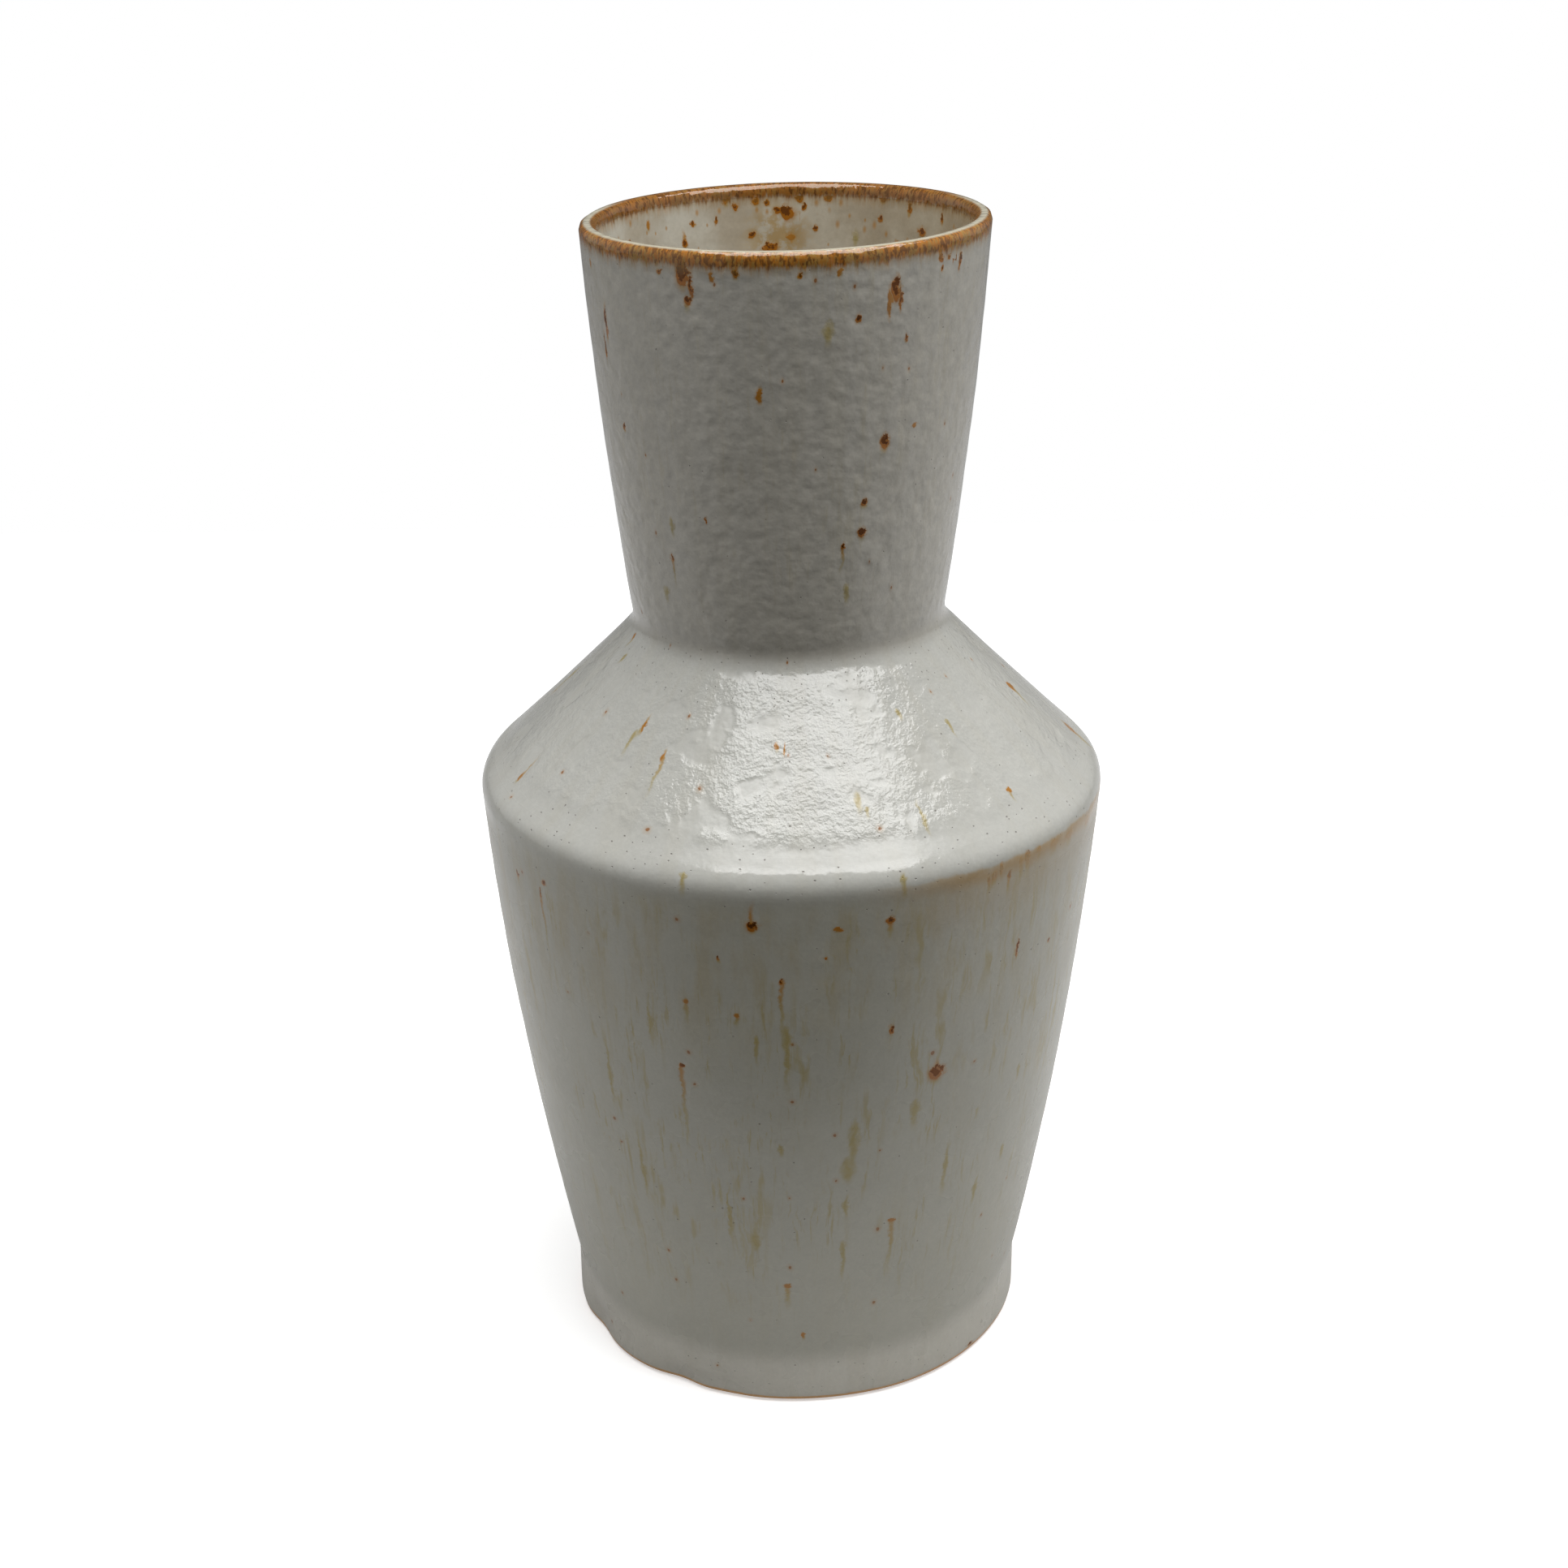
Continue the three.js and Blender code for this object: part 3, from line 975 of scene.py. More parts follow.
@dataclass(frozen=True)
class OffWhiteGlaze:
    """The outer coat: a glossy, pitted off-white over iron-bearing clay."""

    # Zone tones: the body's olive is the coat's own; the cone lighter and the neck and body darker are
    # partly painted light and shade.
    neck: Rgb = (0.398, 0.380, 0.334)
    cone: Rgb = (0.412, 0.410, 0.378)
    body: Rgb = (0.366, 0.356, 0.302)
    # band: the foot band's tone, made lighter as painted light.
    band: Rgb = (0.470, 0.452, 0.395)
    warm: Rgb = (0.340, 0.300, 0.205)
    haze: Rgb = (0.340, 0.215, 0.075)
    # pit: the painted shade in the open pits
    shaded_pit: Rgb = (0.110, 0.095, 0.080)
    clay: Rgb = (0.540, 0.300, 0.120)
    roughness: float = 0.14
    neck_colour: Span = (197.0, 202.0)
    body_colour: Span = (160.0, 152.0)
    band_painted_light: Span = (23.0, 15.0)
    warm_top: Span = (156.0, 149.0)
    warm_foot: Span = (104.0, 138.0)
    neck_clouds: Span = (198.0, 206.0)
    neck_top_darker: Span = (225.0, 280.0)
    cone_smooth: Span = (161.0, 162.5)
    cone_top: Span = (200.0, 194.0)
    satin_body: Span = (157.0, 148.0)
    run_top: Span = (158.0, 140.0)
    run_foot: Span = (12.0, 70.0)
    neck_runs: Span = (205.0, 225.0)
    grain_from: Span = (162.0, 168.0)
    cone_relief: Span = (164.0, 168.0)
    neck_relief: Span = (200.0, 206.0)
    edge_pits: tuple[Span, Span] = ((148.0, 153.0), (172.0, 162.0))
    crease_pits: tuple[Span, Span] = ((188.0, 194.0), (204.0, 200.0))
    foot_pits: Span = (16.0, 10.0)

    def material(self) -> bpy.types.Material:
        """Builds the coat's material."""
        bench = Bench.of_material("outer_glaze")
        skin = Skin(bench)
        tint = self._ground(skin)
        tint = self._runs(skin, tint)
        relief = self._peel(skin)
        tint, relief = self._specks(skin, tint, relief)
        for layer in FleckLayers.names:
            tint, raised = STAINS.flecks(skin, tint, layer)
            relief = relief + raised
        tint = self._stain_line(skin, tint)
        tint = STAINS.lip(skin, tint)
        tint = self._foot_line(skin, tint)
        smooth = skin.z.climb(*self.cone_smooth) * skin.z.climb(*self.cone_top) * (1.0 - self._grainy(skin))
        satin = smooth * 0.20 + skin.z.climb(*self.satin_body) * 0.16
        gloss = bench.noise(skin.place, 14.0, 2.0) * 0.08 + (self.roughness - 0.06) + satin
        links = {"Base Color": tint, "Roughness": gloss, "Metallic": STAINS.sheen(skin, tint)}
        return bench.surface({"IOR": 1.5, "Specular IOR Level": 0.46}, links, relief)

    def _ground(self, skin: Skin) -> Signal:
        """The clouded off-white of the coat, olive where it thins on the body; its lighter cone and foot
        band and darker neck are partly painted light and shade.
        """
        bench, z = skin.bench, skin.z
        tint = bench.colours(z.climb(*self.neck_colour), self.cone, self.neck)
        tint = bench.colours(z.climb(*self.body_colour), tint, self.body)
        # The foot band made lighter: painted light.
        lit_band = skin.way.climb(*(PATH.way_at_height(height) for height in self.band_painted_light))
        tint = bench.colours(lit_band, tint, self.band)
        warm = bench.noise(skin.hung(0.16), 5.0, 4.0, 0.62)
        under = z.climb(*self.warm_top) * z.climb(*self.warm_foot)
        tint = bench.colours(warm.climb(0.42, 0.66) * (under * 0.52 + 0.10), tint, self.warm)
        cloud = bench.noise(skin.place, 30.0, 3.0, 0.55) * 0.16
        cloud = cloud + bench.noise(skin.place, 0.9, 3.0, 0.65) * 0.20 + 0.72
        cloud = cloud + bench.noise(skin.place, 2.8, 2.0, 0.6) * (z.climb(*self.neck_clouds) * 0.30 + 0.09)
        # A step at the crease, lighter below and darker above, partly painted light and shade; then darker
        # towards the neck's top.
        cloud = cloud + z.climb(*self.neck_clouds[::-1]) * 0.055
        cloud = cloud - z.climb(*self.neck_clouds) * 0.04 - z.climb(*self.neck_top_darker) * 0.065
        return bench.shaded(tint, bench.joined(cloud, cloud, cloud))

    def _runs(self, skin: Skin, tint: Signal) -> Signal:
        """Faint olive runs, which hang down the body and less down the neck."""
        bench = skin.bench
        low = skin.z.climb(*self.run_top) * skin.z.climb(*self.run_foot)
        low = low + skin.z.climb(*self.neck_runs) * 0.22
        wavy = (bench.noise(skin.hung(0.4), 6.0, 3.0, 0.6) - 0.5) * 3.2
        for thickness, stretch, cover in ((0.9, 0.06, 0.53), (1.9, 0.08, 0.52), (4.0, 0.16, 0.56)):
            fall = bench.joined(skin.drum_x + wavy, skin.drum_y + wavy, skin.z * stretch)
            hair = bench.noise(fall, thickness, 3.0, 0.65)
            where = bench.noise(skin.hung(0.35), thickness * 5.0 + 4.0, 2.0, 0.5)
            runs = hair.climb(cover, cover + 0.16) * where.climb(0.45, 0.62) * low
            tint = bench.colours(runs * 0.66, tint, STAINS.olive)
        return tint

    def _grainy(self, skin: Skin) -> Signal:
        """Where the coat boiled and set grainy: in patches, above the shoulder's smooth edge."""
        return skin.bench.noise(skin.place, 9.0, 2.0).climb(0.36, 0.50) * skin.z.climb(*self.grain_from)

    def _peel(self, skin: Skin) -> Signal:
        """The coat's orange peel, coarser and dented on the shoulder."""
        bench, place = skin.bench, skin.place
        cone = skin.z.climb(*self.cone_relief) * skin.z.climb(*self.cone_top)
        neck = skin.z.climb(*self.neck_relief)
        grainy = self._grainy(skin)
        fine = bench.noise(place, 0.85, 2.0, 0.6) * (grainy * cone * 0.15 + 0.012)
        middle = bench.noise(place, 2.4, 2.0, 0.5) * (cone * grainy * 0.16 + neck * 0.10 + 0.07)
        coarse = bench.noise(place, 8.0, 3.0, 0.5) * (cone * 0.30 + 0.12)
        coarse = coarse + bench.noise(place, 4.2, 1.0, 0.5) * neck * 0.40
        return fine + middle + coarse

    def _specks(self, skin: Skin, tint: Signal, relief: Signal) -> tuple[Signal, Signal]:
        """Scattered dots of iron, and open pits round the shoulder's edge and the foot, painted dark as the
        shade in their hollows.
        """
        bench, z = skin.bench, skin.z
        warp = (bench.noise(skin.place, 1.2, 2.0) - 0.5) * 0.7
        far, lot, size = bench.cells(skin.unrolled(0.8), 10.0, True)
        here = lot.climb(0.84, 0.85) * skin.off_seam
        tint = bench.colours((far + warp).climb(size * 0.6 + 0.9, 0.1) * here * 0.30, tint, STAINS.ochre)
        dot = (far + warp).climb(size * 0.30 + 0.26, size * 0.2 + 0.08) * here
        tint = bench.colours(dot * 0.8, tint, bench.colours(0.4, STAINS.rust, STAINS.umber))
        far, lot, size = bench.cells(skin.unrolled(), 2.3, True)
        edge, crease = ((z.climb(*low), z.climb(*high)) for low, high in (self.edge_pits, self.crease_pits))
        rims = edge[0] * edge[1] + crease[0] * crease[1]
        often = rims * 0.26 + z.climb(*self.foot_pits) * 0.12 + 0.03
        here = lot.climb(1.0 - often, 1.01 - often) * skin.off_seam
        # Each pit is painted dark: painted shade in its hollow.
        shaded_pit = far.climb(size * 0.14 + 0.15, size * 0.10 + 0.04) * here
        return bench.colours(shaded_pit * 0.65, tint, self.shaded_pit), relief - shaded_pit * 0.10

    def _stain_line(self, skin: Skin, tint: Signal) -> Signal:
        """The haze of iron along the shoulder's edge on the right of the front."""
        bench = skin.bench
        rough = (bench.noise(skin.hung(0.5), 5.0, 3.0, 0.6) - 0.5) * 6.0
        side = skin.round.climb(10.0, 38.0) * skin.round.climb(110.0, 80.0)
        wide = (skin.z + rough).climb(157.5, 155.0) * (skin.z + rough).climb(137.0, 154.0)
        narrow = (skin.z + rough * 0.35).climb(157.0, 156.0) * (skin.z + rough * 0.6).climb(151.0, 155.0)
        return bench.colours((wide * 0.30 + narrow * 0.55) * side, tint, self.haze)

    def _foot_line(self, skin: Skin, tint: Signal) -> Signal:
        """The toasted line where the coat was wiped back above the table."""
        end = PATH.way_at_height(FORM.bare_foot)
        wobble = (skin.bench.noise(skin.place, 4.0, 2.0) - 0.5) * 0.6
        edge = (skin.way + wobble).climb(end - 1.2, end - 0.8)
        return skin.bench.colours(edge * 0.95, tint, self.clay)


@dataclass(frozen=True)
class BeigeLiner:
    """The liner: warm beige, glossy, with iron thick near the mouth."""

    body: Rgb = (0.365, 0.315, 0.235)
    pale: Rgb = (0.460, 0.425, 0.345)
    roughness: float = 0.18
    blotch_left: float = 1.5
    blotch_height: float = 287.0
    blotch_size: float = 8.0
    side_reach: float = 45.0

    def material(self) -> bpy.types.Material:
        """Builds the liner's material."""
        bench = Bench.of_material("inner_glaze")
        skin = Skin(bench)
        cloud = bench.noise(skin.place, 16.0, 3.0, 0.6)
        tint = bench.colours(cloud.climb(0.36, 0.64), self.pale, self.body)
        grain = bench.noise(skin.place, 0.9, 3.0, 0.65) * 0.24 + 0.88
        tint = bench.shaded(tint, bench.joined(grain, grain, grain))
        blotch_x = (skin.x + self.blotch_left) / self.blotch_size
        blotch_z = (skin.z - self.blotch_height) / self.blotch_size
        blotch = (blotch_x * blotch_x + blotch_z * blotch_z) ** 0.5
        ragged = bench.noise(skin.place, 3.6, 4.0, 0.7).climb(0.40, 0.58)
        haze = blotch.climb(1.5, 0.4) * ragged * skin.y.climb(10.0, 30.0)
        tint = bench.colours(haze * 0.75, tint, bench.colours(0.5, STAINS.olive, STAINS.ochre))
        # Painted light and shade: lighter on the left of the liner, darker and warmer on its right.
        right = (skin.x / self.side_reach).at_least(-1.0).at_most(1.0)
        tint = bench.shaded(tint, bench.joined(1.0 - right * 0.09, 1.0 - right * 0.14, 1.0 - right * 0.22))
        far, lot, size = bench.cells(skin.unrolled(0.8), 4.5, True)
        here = lot.climb(0.62, 0.64) * skin.off_seam
        tint = bench.colours(far.climb(size * 0.8 + 0.5, 0.1) * here * 0.7, tint, STAINS.ochre)
        relief = bench.noise(skin.place, 4.0, 2.0) * 0.12
        for layer in FleckLayers.names:
            tint, raised = STAINS.flecks(skin, tint, layer)
            relief = relief + raised
        tint = STAINS.lip(skin, tint)
        gloss = bench.noise(skin.place, 12.0, 2.0) * 0.08 + (self.roughness - 0.04)
        links = {"Base Color": tint, "Roughness": gloss}
        return bench.surface({"Metallic": 0.0, "IOR": 1.5}, links, relief)


@dataclass(frozen=True)
class BareStoneware:
    """Unglazed fired clay: toasted, sandy and matt, with the wire's marks under the foot."""

    light: Rgb = (0.560, 0.330, 0.160)
    dark: Rgb = (0.400, 0.205, 0.085)
    grog: Rgb = (0.560, 0.440, 0.300)
    iron: Rgb = (0.070, 0.030, 0.014)
    roughness: float = 0.82
    wire_left: float = 150.0
    wire_back: float = 40.0

    def material(self) -> bpy.types.Material:
        """Builds the clay's material."""
        bench = Bench.of_material("bare_stoneware")
        place = bench.place()
        x, y, _ = bench.parts(place)
        toast = bench.noise(place, 26.0, 4.0, 0.6)
        tint = bench.colours(toast.climb(0.35, 0.65), self.light, self.dark)
        far, lot, size = bench.cells(place, 1.6)
        grit = far.climb(size * 0.3 + 0.35, 0.15) * lot.climb(0.72, 0.74)
        tint = bench.colours(grit * 0.6, tint, self.grog)
        far, lot, _ = bench.cells(place, 3.4)
        spot = far.climb(0.55, 0.25) * lot.climb(0.84, 0.86)
        tint = bench.colours(spot * 0.9, tint, self.iron)
        offset_x, offset_y = x + self.wire_left, y - self.wire_back
        sweep = (offset_x * offset_x + offset_y * offset_y) ** 0.5
        wire = bench.noise(bench.joined(sweep, bench.noise(place, 40.0) * 6.0, 0.0), 1.7, 2.0)
        relief = wire * 0.12 + bench.noise(place, 0.7, 3.0, 0.7) * 0.06 + grit * 0.04
        rough = bench.noise(place, 3.0, 2.0) * 0.14 + (self.roughness - 0.07)
        links = {"Base Color": tint, "Roughness": rough}
        return bench.surface({"Metallic": 0.0, "Specular IOR Level": 0.3}, links, relief)


@dataclass(frozen=True)
class FiredSlip:
    """The slip that holds the sections: finer and darker than the clay."""

    light: Rgb = (0.270, 0.130, 0.058)
    dark: Rgb = (0.180, 0.082, 0.036)

    def material(self) -> bpy.types.Material:
        """Builds the slip's material."""
        bench = Bench.of_material("joint_slip")
        place = bench.place()
        tint = bench.colours(bench.noise(place, 9.0, 4.0, 0.6).climb(0.35, 0.65), self.light, self.dark)
        relief = bench.noise(place, 1.2, 3.0, 0.6) * 0.08
        rough = bench.noise(place, 2.5, 2.0) * 0.1 + 0.85
        links = {"Base Color": tint, "Roughness": rough}
        return bench.surface({"Metallic": 0.0, "Specular IOR Level": 0.3}, links, relief)


class FleckLayers:
    """Sets of flecks, each set far enough apart to share one group of mesh attributes."""

    names = ("fleck_a", "fleck_b", "fleck_c")

    def __init__(self, flecks: Sequence[Fleck], inside: bool) -> None:
        """Puts each fleck in the layer where it has the most room."""
        self.inside = inside
        self.layers: dict[str, list[Fleck]] = {name: [] for name in self.names}
        for fleck in sorted(flecks, key=lambda one: -one.below - one.above):
            room = {
                name: min((fleck.clearance(other) for other in held), default=FAR)
                for name, held in self.layers.items()
            }
            self.layers[max(room, key=room.get)].append(fleck)

    def attributes(self, spots: CoatPlaces) -> dict[str, np.ndarray]:
        """What each place on the coat has to know about its nearest fleck of each layer.

        Args:
            spots: the places.

        Returns:
            The offsets, sizes and runs of each layer, by attribute name.
        """
        found: dict[str, np.ndarray] = {}
        for name, held in self.layers.items():
            at = np.full((len(spots.way), 3), FAR)
            size = np.ones((len(spots.way), 3))
            run = np.ones((len(spots.way), 3))
            for fleck in held:
                offsets = fleck.offsets(spots, self.inside)
                nearer = offsets[:, 2] < at[:, 2]
                at[nearer] = offsets[nearer]
                size[nearer] = (fleck.wide, fleck.tall, fleck.iron.value)
                run[nearer] = (fleck.above, fleck.below, 0.0)
            found[f"{name}_at"] = at
            found[f"{name}_size"] = size
            found[f"{name}_run"] = run
        return found


# ---- The pieces ----


class Slot(Enum):
    """The record's material slots."""

    CLAY = "bare_stoneware"
    SLIP = "joint_slip"
    OUTER = "outer_glaze"
    INNER = "inner_glaze"


def settle(piece: bpy.types.Object, node: str, material: bpy.types.Material) -> None:
    """Marks, smooths and dresses a piece, and puts it in its node's place.

    Args:
        piece: the piece, still true.
        node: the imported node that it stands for.
        material: its finish.
    """
    move_to(piece, MARKS.applied(places_of(piece)))
    soften(piece)
    piece.data.materials.clear()
    piece.data.materials.append(material)
    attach(piece, "root")
    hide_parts(node)
    LOG.info("%s: %d faces", piece.name, len(piece.data.polygons))


@dataclass(frozen=True)
class ClaySections:
    """The four clay sections and the slip between them."""

    segments: int = 144
    step: float = 3.0
    foot_segments: int = 288
    foot_step: float = 1.0

    def build(self, clay: bpy.types.Material, slip: bpy.types.Material) -> None:
        """Turns every section and every joint.

        Args:
            clay: the finish of the sections.
            slip: the finish of the joints.
        """
        face = FORM.slip / 2 + FORM.gap
        foot, shoulder, neck = (Joint(*PATH.joints[name]) for name in ("foot", "shoulder", "neck"))
        whole = PATH.clay(self.step)
        fine = PATH.clay(self.foot_step)
        above_foot = foot.cut(whole, 1, face, FORM)
        above_shoulder = shoulder.cut(whole, 1, face, FORM)
        sections = {
            "foot_section": foot.cut(fine, -1, face, FORM),
            "body_section": shoulder.cut(above_foot, -1, face, FORM),
            "shoulder_section": neck.cut(above_shoulder, -1, face, FORM),
            "neck_section": neck.cut(whole, 1, face, FORM),
        }
        for name, outline in sections.items():
            segments = self.foot_segments if name == "foot_section" else self.segments
            settle(turned(f"thrown_{name}", outline, segments), name, clay)
        for name, joint in {"foot": foot, "shoulder": shoulder, "neck": neck}.items():
            under = joint.cut(whole, -1, -FORM.slip / 2, FORM)
            outline = joint.cut(under, 1, -FORM.slip / 2, FORM)
            node = f"{name}_joint_slip"
            settle(turned(f"fired_{node}", outline, self.segments), node, slip)


@dataclass(frozen=True)
class GlazeCoat:
    """One coat of glaze, between two ways from the lip's crest."""

    node: str
    slot: Slot
    start: float
    end: float
    step: float
    back_step: float
    segments: int
    flecks: tuple[Fleck, ...] = ()

    def build(self, material: bpy.types.Material) -> None:
        """Turns the coat, marks where things are on it and dresses it.

        Args:
            material: the coat's finish.
        """
        face = PATH.face(0.0, self.start, self.end, self.step)
        back = PATH.face(FORM.glaze, self.start, self.end, self.back_step)
        piece = turned(f"fired_{self.node}", face + back[::-1], self.segments)
        spots = CoatPlaces.of(places_of(piece))
        self._write(piece, "way", np.stack([spots.way, spots.depth, spots.angle], axis=1))
        for name, rows in FleckLayers(self.flecks, self.slot is Slot.INNER).attributes(spots).items():
            self._write(piece, name, rows)
        self._lay_flat(piece, spots)
        settle(piece, self.node, material)

    @staticmethod
    def _write(piece: bpy.types.Object, name: str, rows: np.ndarray) -> None:
        """Stores one vector for each vertex under a name."""
        made = piece.data.attributes.new(name, "FLOAT_VECTOR", "POINT")
        made.data.foreach_set("vector", rows.astype(np.float32).ravel())

    def _lay_flat(self, piece: bpy.types.Object, spots: CoatPlaces) -> None:
        """Unrolls the coat: its face fills the map, and its hidden back gets a thin strip."""
        edge, early, late = 0.002, 0.25, 0.75
        face_starts, face_fills, back_starts, back_fills = 0.005, 0.93, 0.95, 0.045
        mesh = piece.data
        corners = np.empty(len(mesh.loops), np.int32)
        mesh.loops.foreach_get("vertex_index", corners)
        starts = np.empty(len(mesh.polygons), np.int32)
        mesh.polygons.foreach_get("loop_start", starts)
        counts = np.diff(np.append(starts, len(corners)))
        owner = np.repeat(np.arange(len(starts)), counts)
        turn = (spots.angle[corners] / TAU + 0.5) % 1.0
        widest = np.maximum.reduceat(turn, starts)[owner]
        turn = np.where((widest > late) & (turn < early), turn + 1.0, turn)
        climb = (self.start - spots.way[corners]) / (self.start - self.end)
        deep = np.maximum.reduceat(spots.depth[corners], starts)[owner] > FORM.glaze / 2
        laid = np.where(deep, back_starts + back_fills * climb, face_starts + face_fills * climb)
        laid = np.clip(laid, edge / 2, 1 - edge / 2)
        flat = np.stack([edge + (1 - 2 * edge) * turn, laid], axis=1)
        made = mesh.uv_layers.new(name="OFBake")
        made.uv.foreach_set("vector", flat.astype(np.float32).ravel())


def placed(*rows: tuple) -> tuple[Fleck, ...]:
    """Flecks from rows of angle, height, half width, half height, stem, run and iron."""
    return tuple(Fleck(*row) for row in rows)


NECK_FLECKS = placed(
    (-28.5, 294.5, 1.3, 2.4, 0, 5), (-26.0, 292.0, 0.5, 2.2, 0, 3), (-27.2, 288.5, 0.7, 0.9, 1, 3.5),
    (-35.5, 294.6, 0.55, 0.6, 0, 1), (30.2, 289.5, 0.9, 2.2, 1.5, 3),
    (28.4, 286.8, 0.5, 2.6, 0, 2, Iron.OCHRE), (31.8, 287.3, 0.45, 2.0, 0, 2),
    (19.2, 284.0, 0.6, 0.9, 0.5, 1.5), (34.4, 278.0, 0.35, 0.7, 0, 1.5),
    (11.1, 281.9, 0.9, 1.4, 1, 5, Iron.OLIVE), (-61.0, 279.5, 0.4, 3.0, 1, 5),
    (-63.2, 273.5, 0.35, 2.6, 0, 3), (-13.4, 295.2, 0.6, 0.8, 0, 2),
    (-20.0, 294.2, 0.4, 0.8, 0, 1, Iron.OCHRE), (3.5, 294.6, 0.5, 0.6, 0, 1),
    (14.0, 294.8, 0.4, 0.9, 0, 1, Iron.OCHRE), (45.5, 295.0, 0.55, 0.7), (46.4, 292.6, 0.4, 0.7),
    (48.9, 294.8, 0.5, 0.6), (54.3, 293.2, 0.5, 1.4, 0, 1), (-8.0, 266.9, 0.6, 1.3, 3, 2.5, Iron.OCHRE),
    (29.2, 254.0, 0.9, 1.5, 0.5, 4), (39.7, 256.5, 0.5, 0.5, 0, 0.5, Iron.OCHRE),
    (23.5, 239.5, 0.6, 0.7, 1.5, 2), (23.2, 231.9, 0.9, 0.9, 1.2, 2.5), (16.9, 229.2, 0.35, 0.7, 0, 8),
    (-26.3, 235.3, 0.3, 0.6), (-40.6, 224.0, 0.3, 0.7, 1, 9),
    (-45.4, 214.6, 0.6, 0.8, 1, 4, Iron.OLIVE), (-57.0, 254.6, 0.35, 0.8, 0, 2),
    (-39.0, 232.8, 0.5, 1.2, 2, 4, Iron.OLIVE), (18.9, 218.0, 0.5, 1.0, 1, 5, Iron.OLIVE),
)
SHOULDER_FLECKS = placed(
    (-41.4, 183.9, 0.3, 1.2, 4, 4, Iron.OCHRE), (-42.8, 182.0, 0.45, 1.0, 1, 7, Iron.OLIVE),
    (-31.7, 179.3, 0.35, 0.9, 3, 12, Iron.OCHRE), (-67.9, 165.5, 0.4, 1.0, 8, 3, Iron.OCHRE),
    (-4.0, 183.6, 0.4, 0.6, 1.5, 2, Iron.OCHRE), (-2.0, 183.0, 0.25, 1.2, 1, 2, Iron.OCHRE),
    (13.5, 173.6, 0.6, 1.0, 2, 5, Iron.OLIVE), (15.0, 171.5, 0.3, 0.4, 1, 3, Iron.OLIVE),
    (30.1, 187.9, 0.4, 0.7, 1, 3, Iron.OLIVE), (43.7, 183.5, 0.3, 0.8, 1, 5, Iron.OLIVE),
    (48.4, 168.4, 0.4, 0.5, 1, 4, Iron.OCHRE), (26.1, 168.1, 0.45, 1.0, 6, 5, Iron.OLIVE),
    (-49.7, 147.3, 0.7, 0.7, 0.5, 0.5), (-50.9, 143.6, 0.3, 1.2, 0.5, 22),
    (-59.1, 144.9, 0.4, 0.7, 0, 4), (-19.0, 159.5, 0.6, 0.5, 1, 6, Iron.OLIVE),
    (18.7, 158.2, 0.6, 0.6, 2, 6, Iron.OLIVE),
)
BODY_FLECKS = placed(
    (-7.1, 147.9, 1.1, 1.1, 7.5, 2.5), (16.5, 147.9, 0.8, 0.8, 1.5, 6),
    (7.4, 146.9, 0.7, 0.4, 0.5, 1, Iron.OCHRE), (5.4, 139.4, 0.3, 0.4), (-13.0, 138.8, 0.3, 0.4, 0, 2),
    (-2.3, 133.0, 0.4, 0.7, 1, 18), (-1.6, 117.0, 0.8, 2.2, 4, 19, Iron.OLIVE),
    (-19.6, 125.4, 0.6, 0.5, 1.5, 7, Iron.OCHRE), (-10.3, 123.0, 0.5, 0.5, 1, 4, Iron.OCHRE),
    (-7.0, 116.2, 0.4, 0.8, 1, 9, Iron.OLIVE), (17.4, 117.2, 0.5, 1.0, 0.8, 1.5),
    (27.3, 101.6, 1.8, 1.7, 5, 4.5), (23.4, 92.5, 0.9, 1.4, 3, 8, Iron.OLIVE),
    (11.2, 86.0, 1.1, 3.0, 8, 14, Iron.OLIVE), (10.0, 77.0, 1.2, 2.2, 4, 6, Iron.OLIVE),
    (-21.4, 106.4, 0.45, 0.5, 1, 28), (-3.1, 83.8, 0.6, 0.7, 2, 3, Iron.OLIVE),
    (44.3, 130.2, 0.3, 2.0, 1, 4), (54.7, 126.9, 0.35, 0.5, 0, 1),
    (50.3, 91.9, 0.5, 0.8, 1, 5, Iron.OLIVE), (41.5, 59.8, 0.9, 0.8, 1, 5, Iron.OLIVE),
    (49.3, 67.2, 0.6, 1.0, 2, 4, Iron.OLIVE), (10.0, 65.3, 0.6, 1.0, 4, 5, Iron.OLIVE),
    (20.3, 58.6, 0.8, 0.4, 0.3, 19, Iron.OCHRE), (9.7, 52.3, 0.5, 1.3, 3, 11, Iron.OLIVE),
    (-8.8, 54.9, 0.8, 1.0, 4, 4, Iron.OLIVE), (-2.2, 42.0, 0.9, 0.5, 1, 8, Iron.OCHRE),
    (1.3, 26.5, 0.35, 0.7, 0.5, 2, Iron.OCHRE), (50.0, 2.6, 0.8, 0.5, 0, 0.5),
    (-14.0, 62.0, 0.5, 1.5, 12, 10, Iron.OLIVE), (-33.0, 70.0, 0.5, 1.5, 16, 10, Iron.OLIVE),
    (-38.0, 98.0, 0.6, 1.5, 14, 12, Iron.OLIVE), (-27.0, 118.0, 0.5, 1.2, 8, 8, Iron.OLIVE),
    (32.0, 72.0, 0.6, 1.2, 8, 12, Iron.OLIVE),
)
STAIN_FLECKS = placed(
    (67.0, 153.6, 1.4, 0.9, 1, 3, Iron.OCHRE), (58.0, 154.6, 1.6, 0.8, 1, 4, Iron.OCHRE),
    (52.5, 155.2, 1.5, 0.8, 1, 4, Iron.OCHRE), (47.8, 155.6, 0.8, 0.5, 1, 3, Iron.OCHRE),
    (44.6, 155.4, 0.9, 0.9, 1, 6), (43.0, 155.0, 0.5, 0.7, 0, 7, Iron.OCHRE),
    (40.3, 152.4, 0.5, 0.8, 0.5, 7), (38.2, 154.8, 0.4, 1.2, 0.5, 3), (36.8, 153.9, 0.6, 0.8, 0.5, 4),
    (35.6, 153.0, 0.45, 0.5, 0, 5),
)
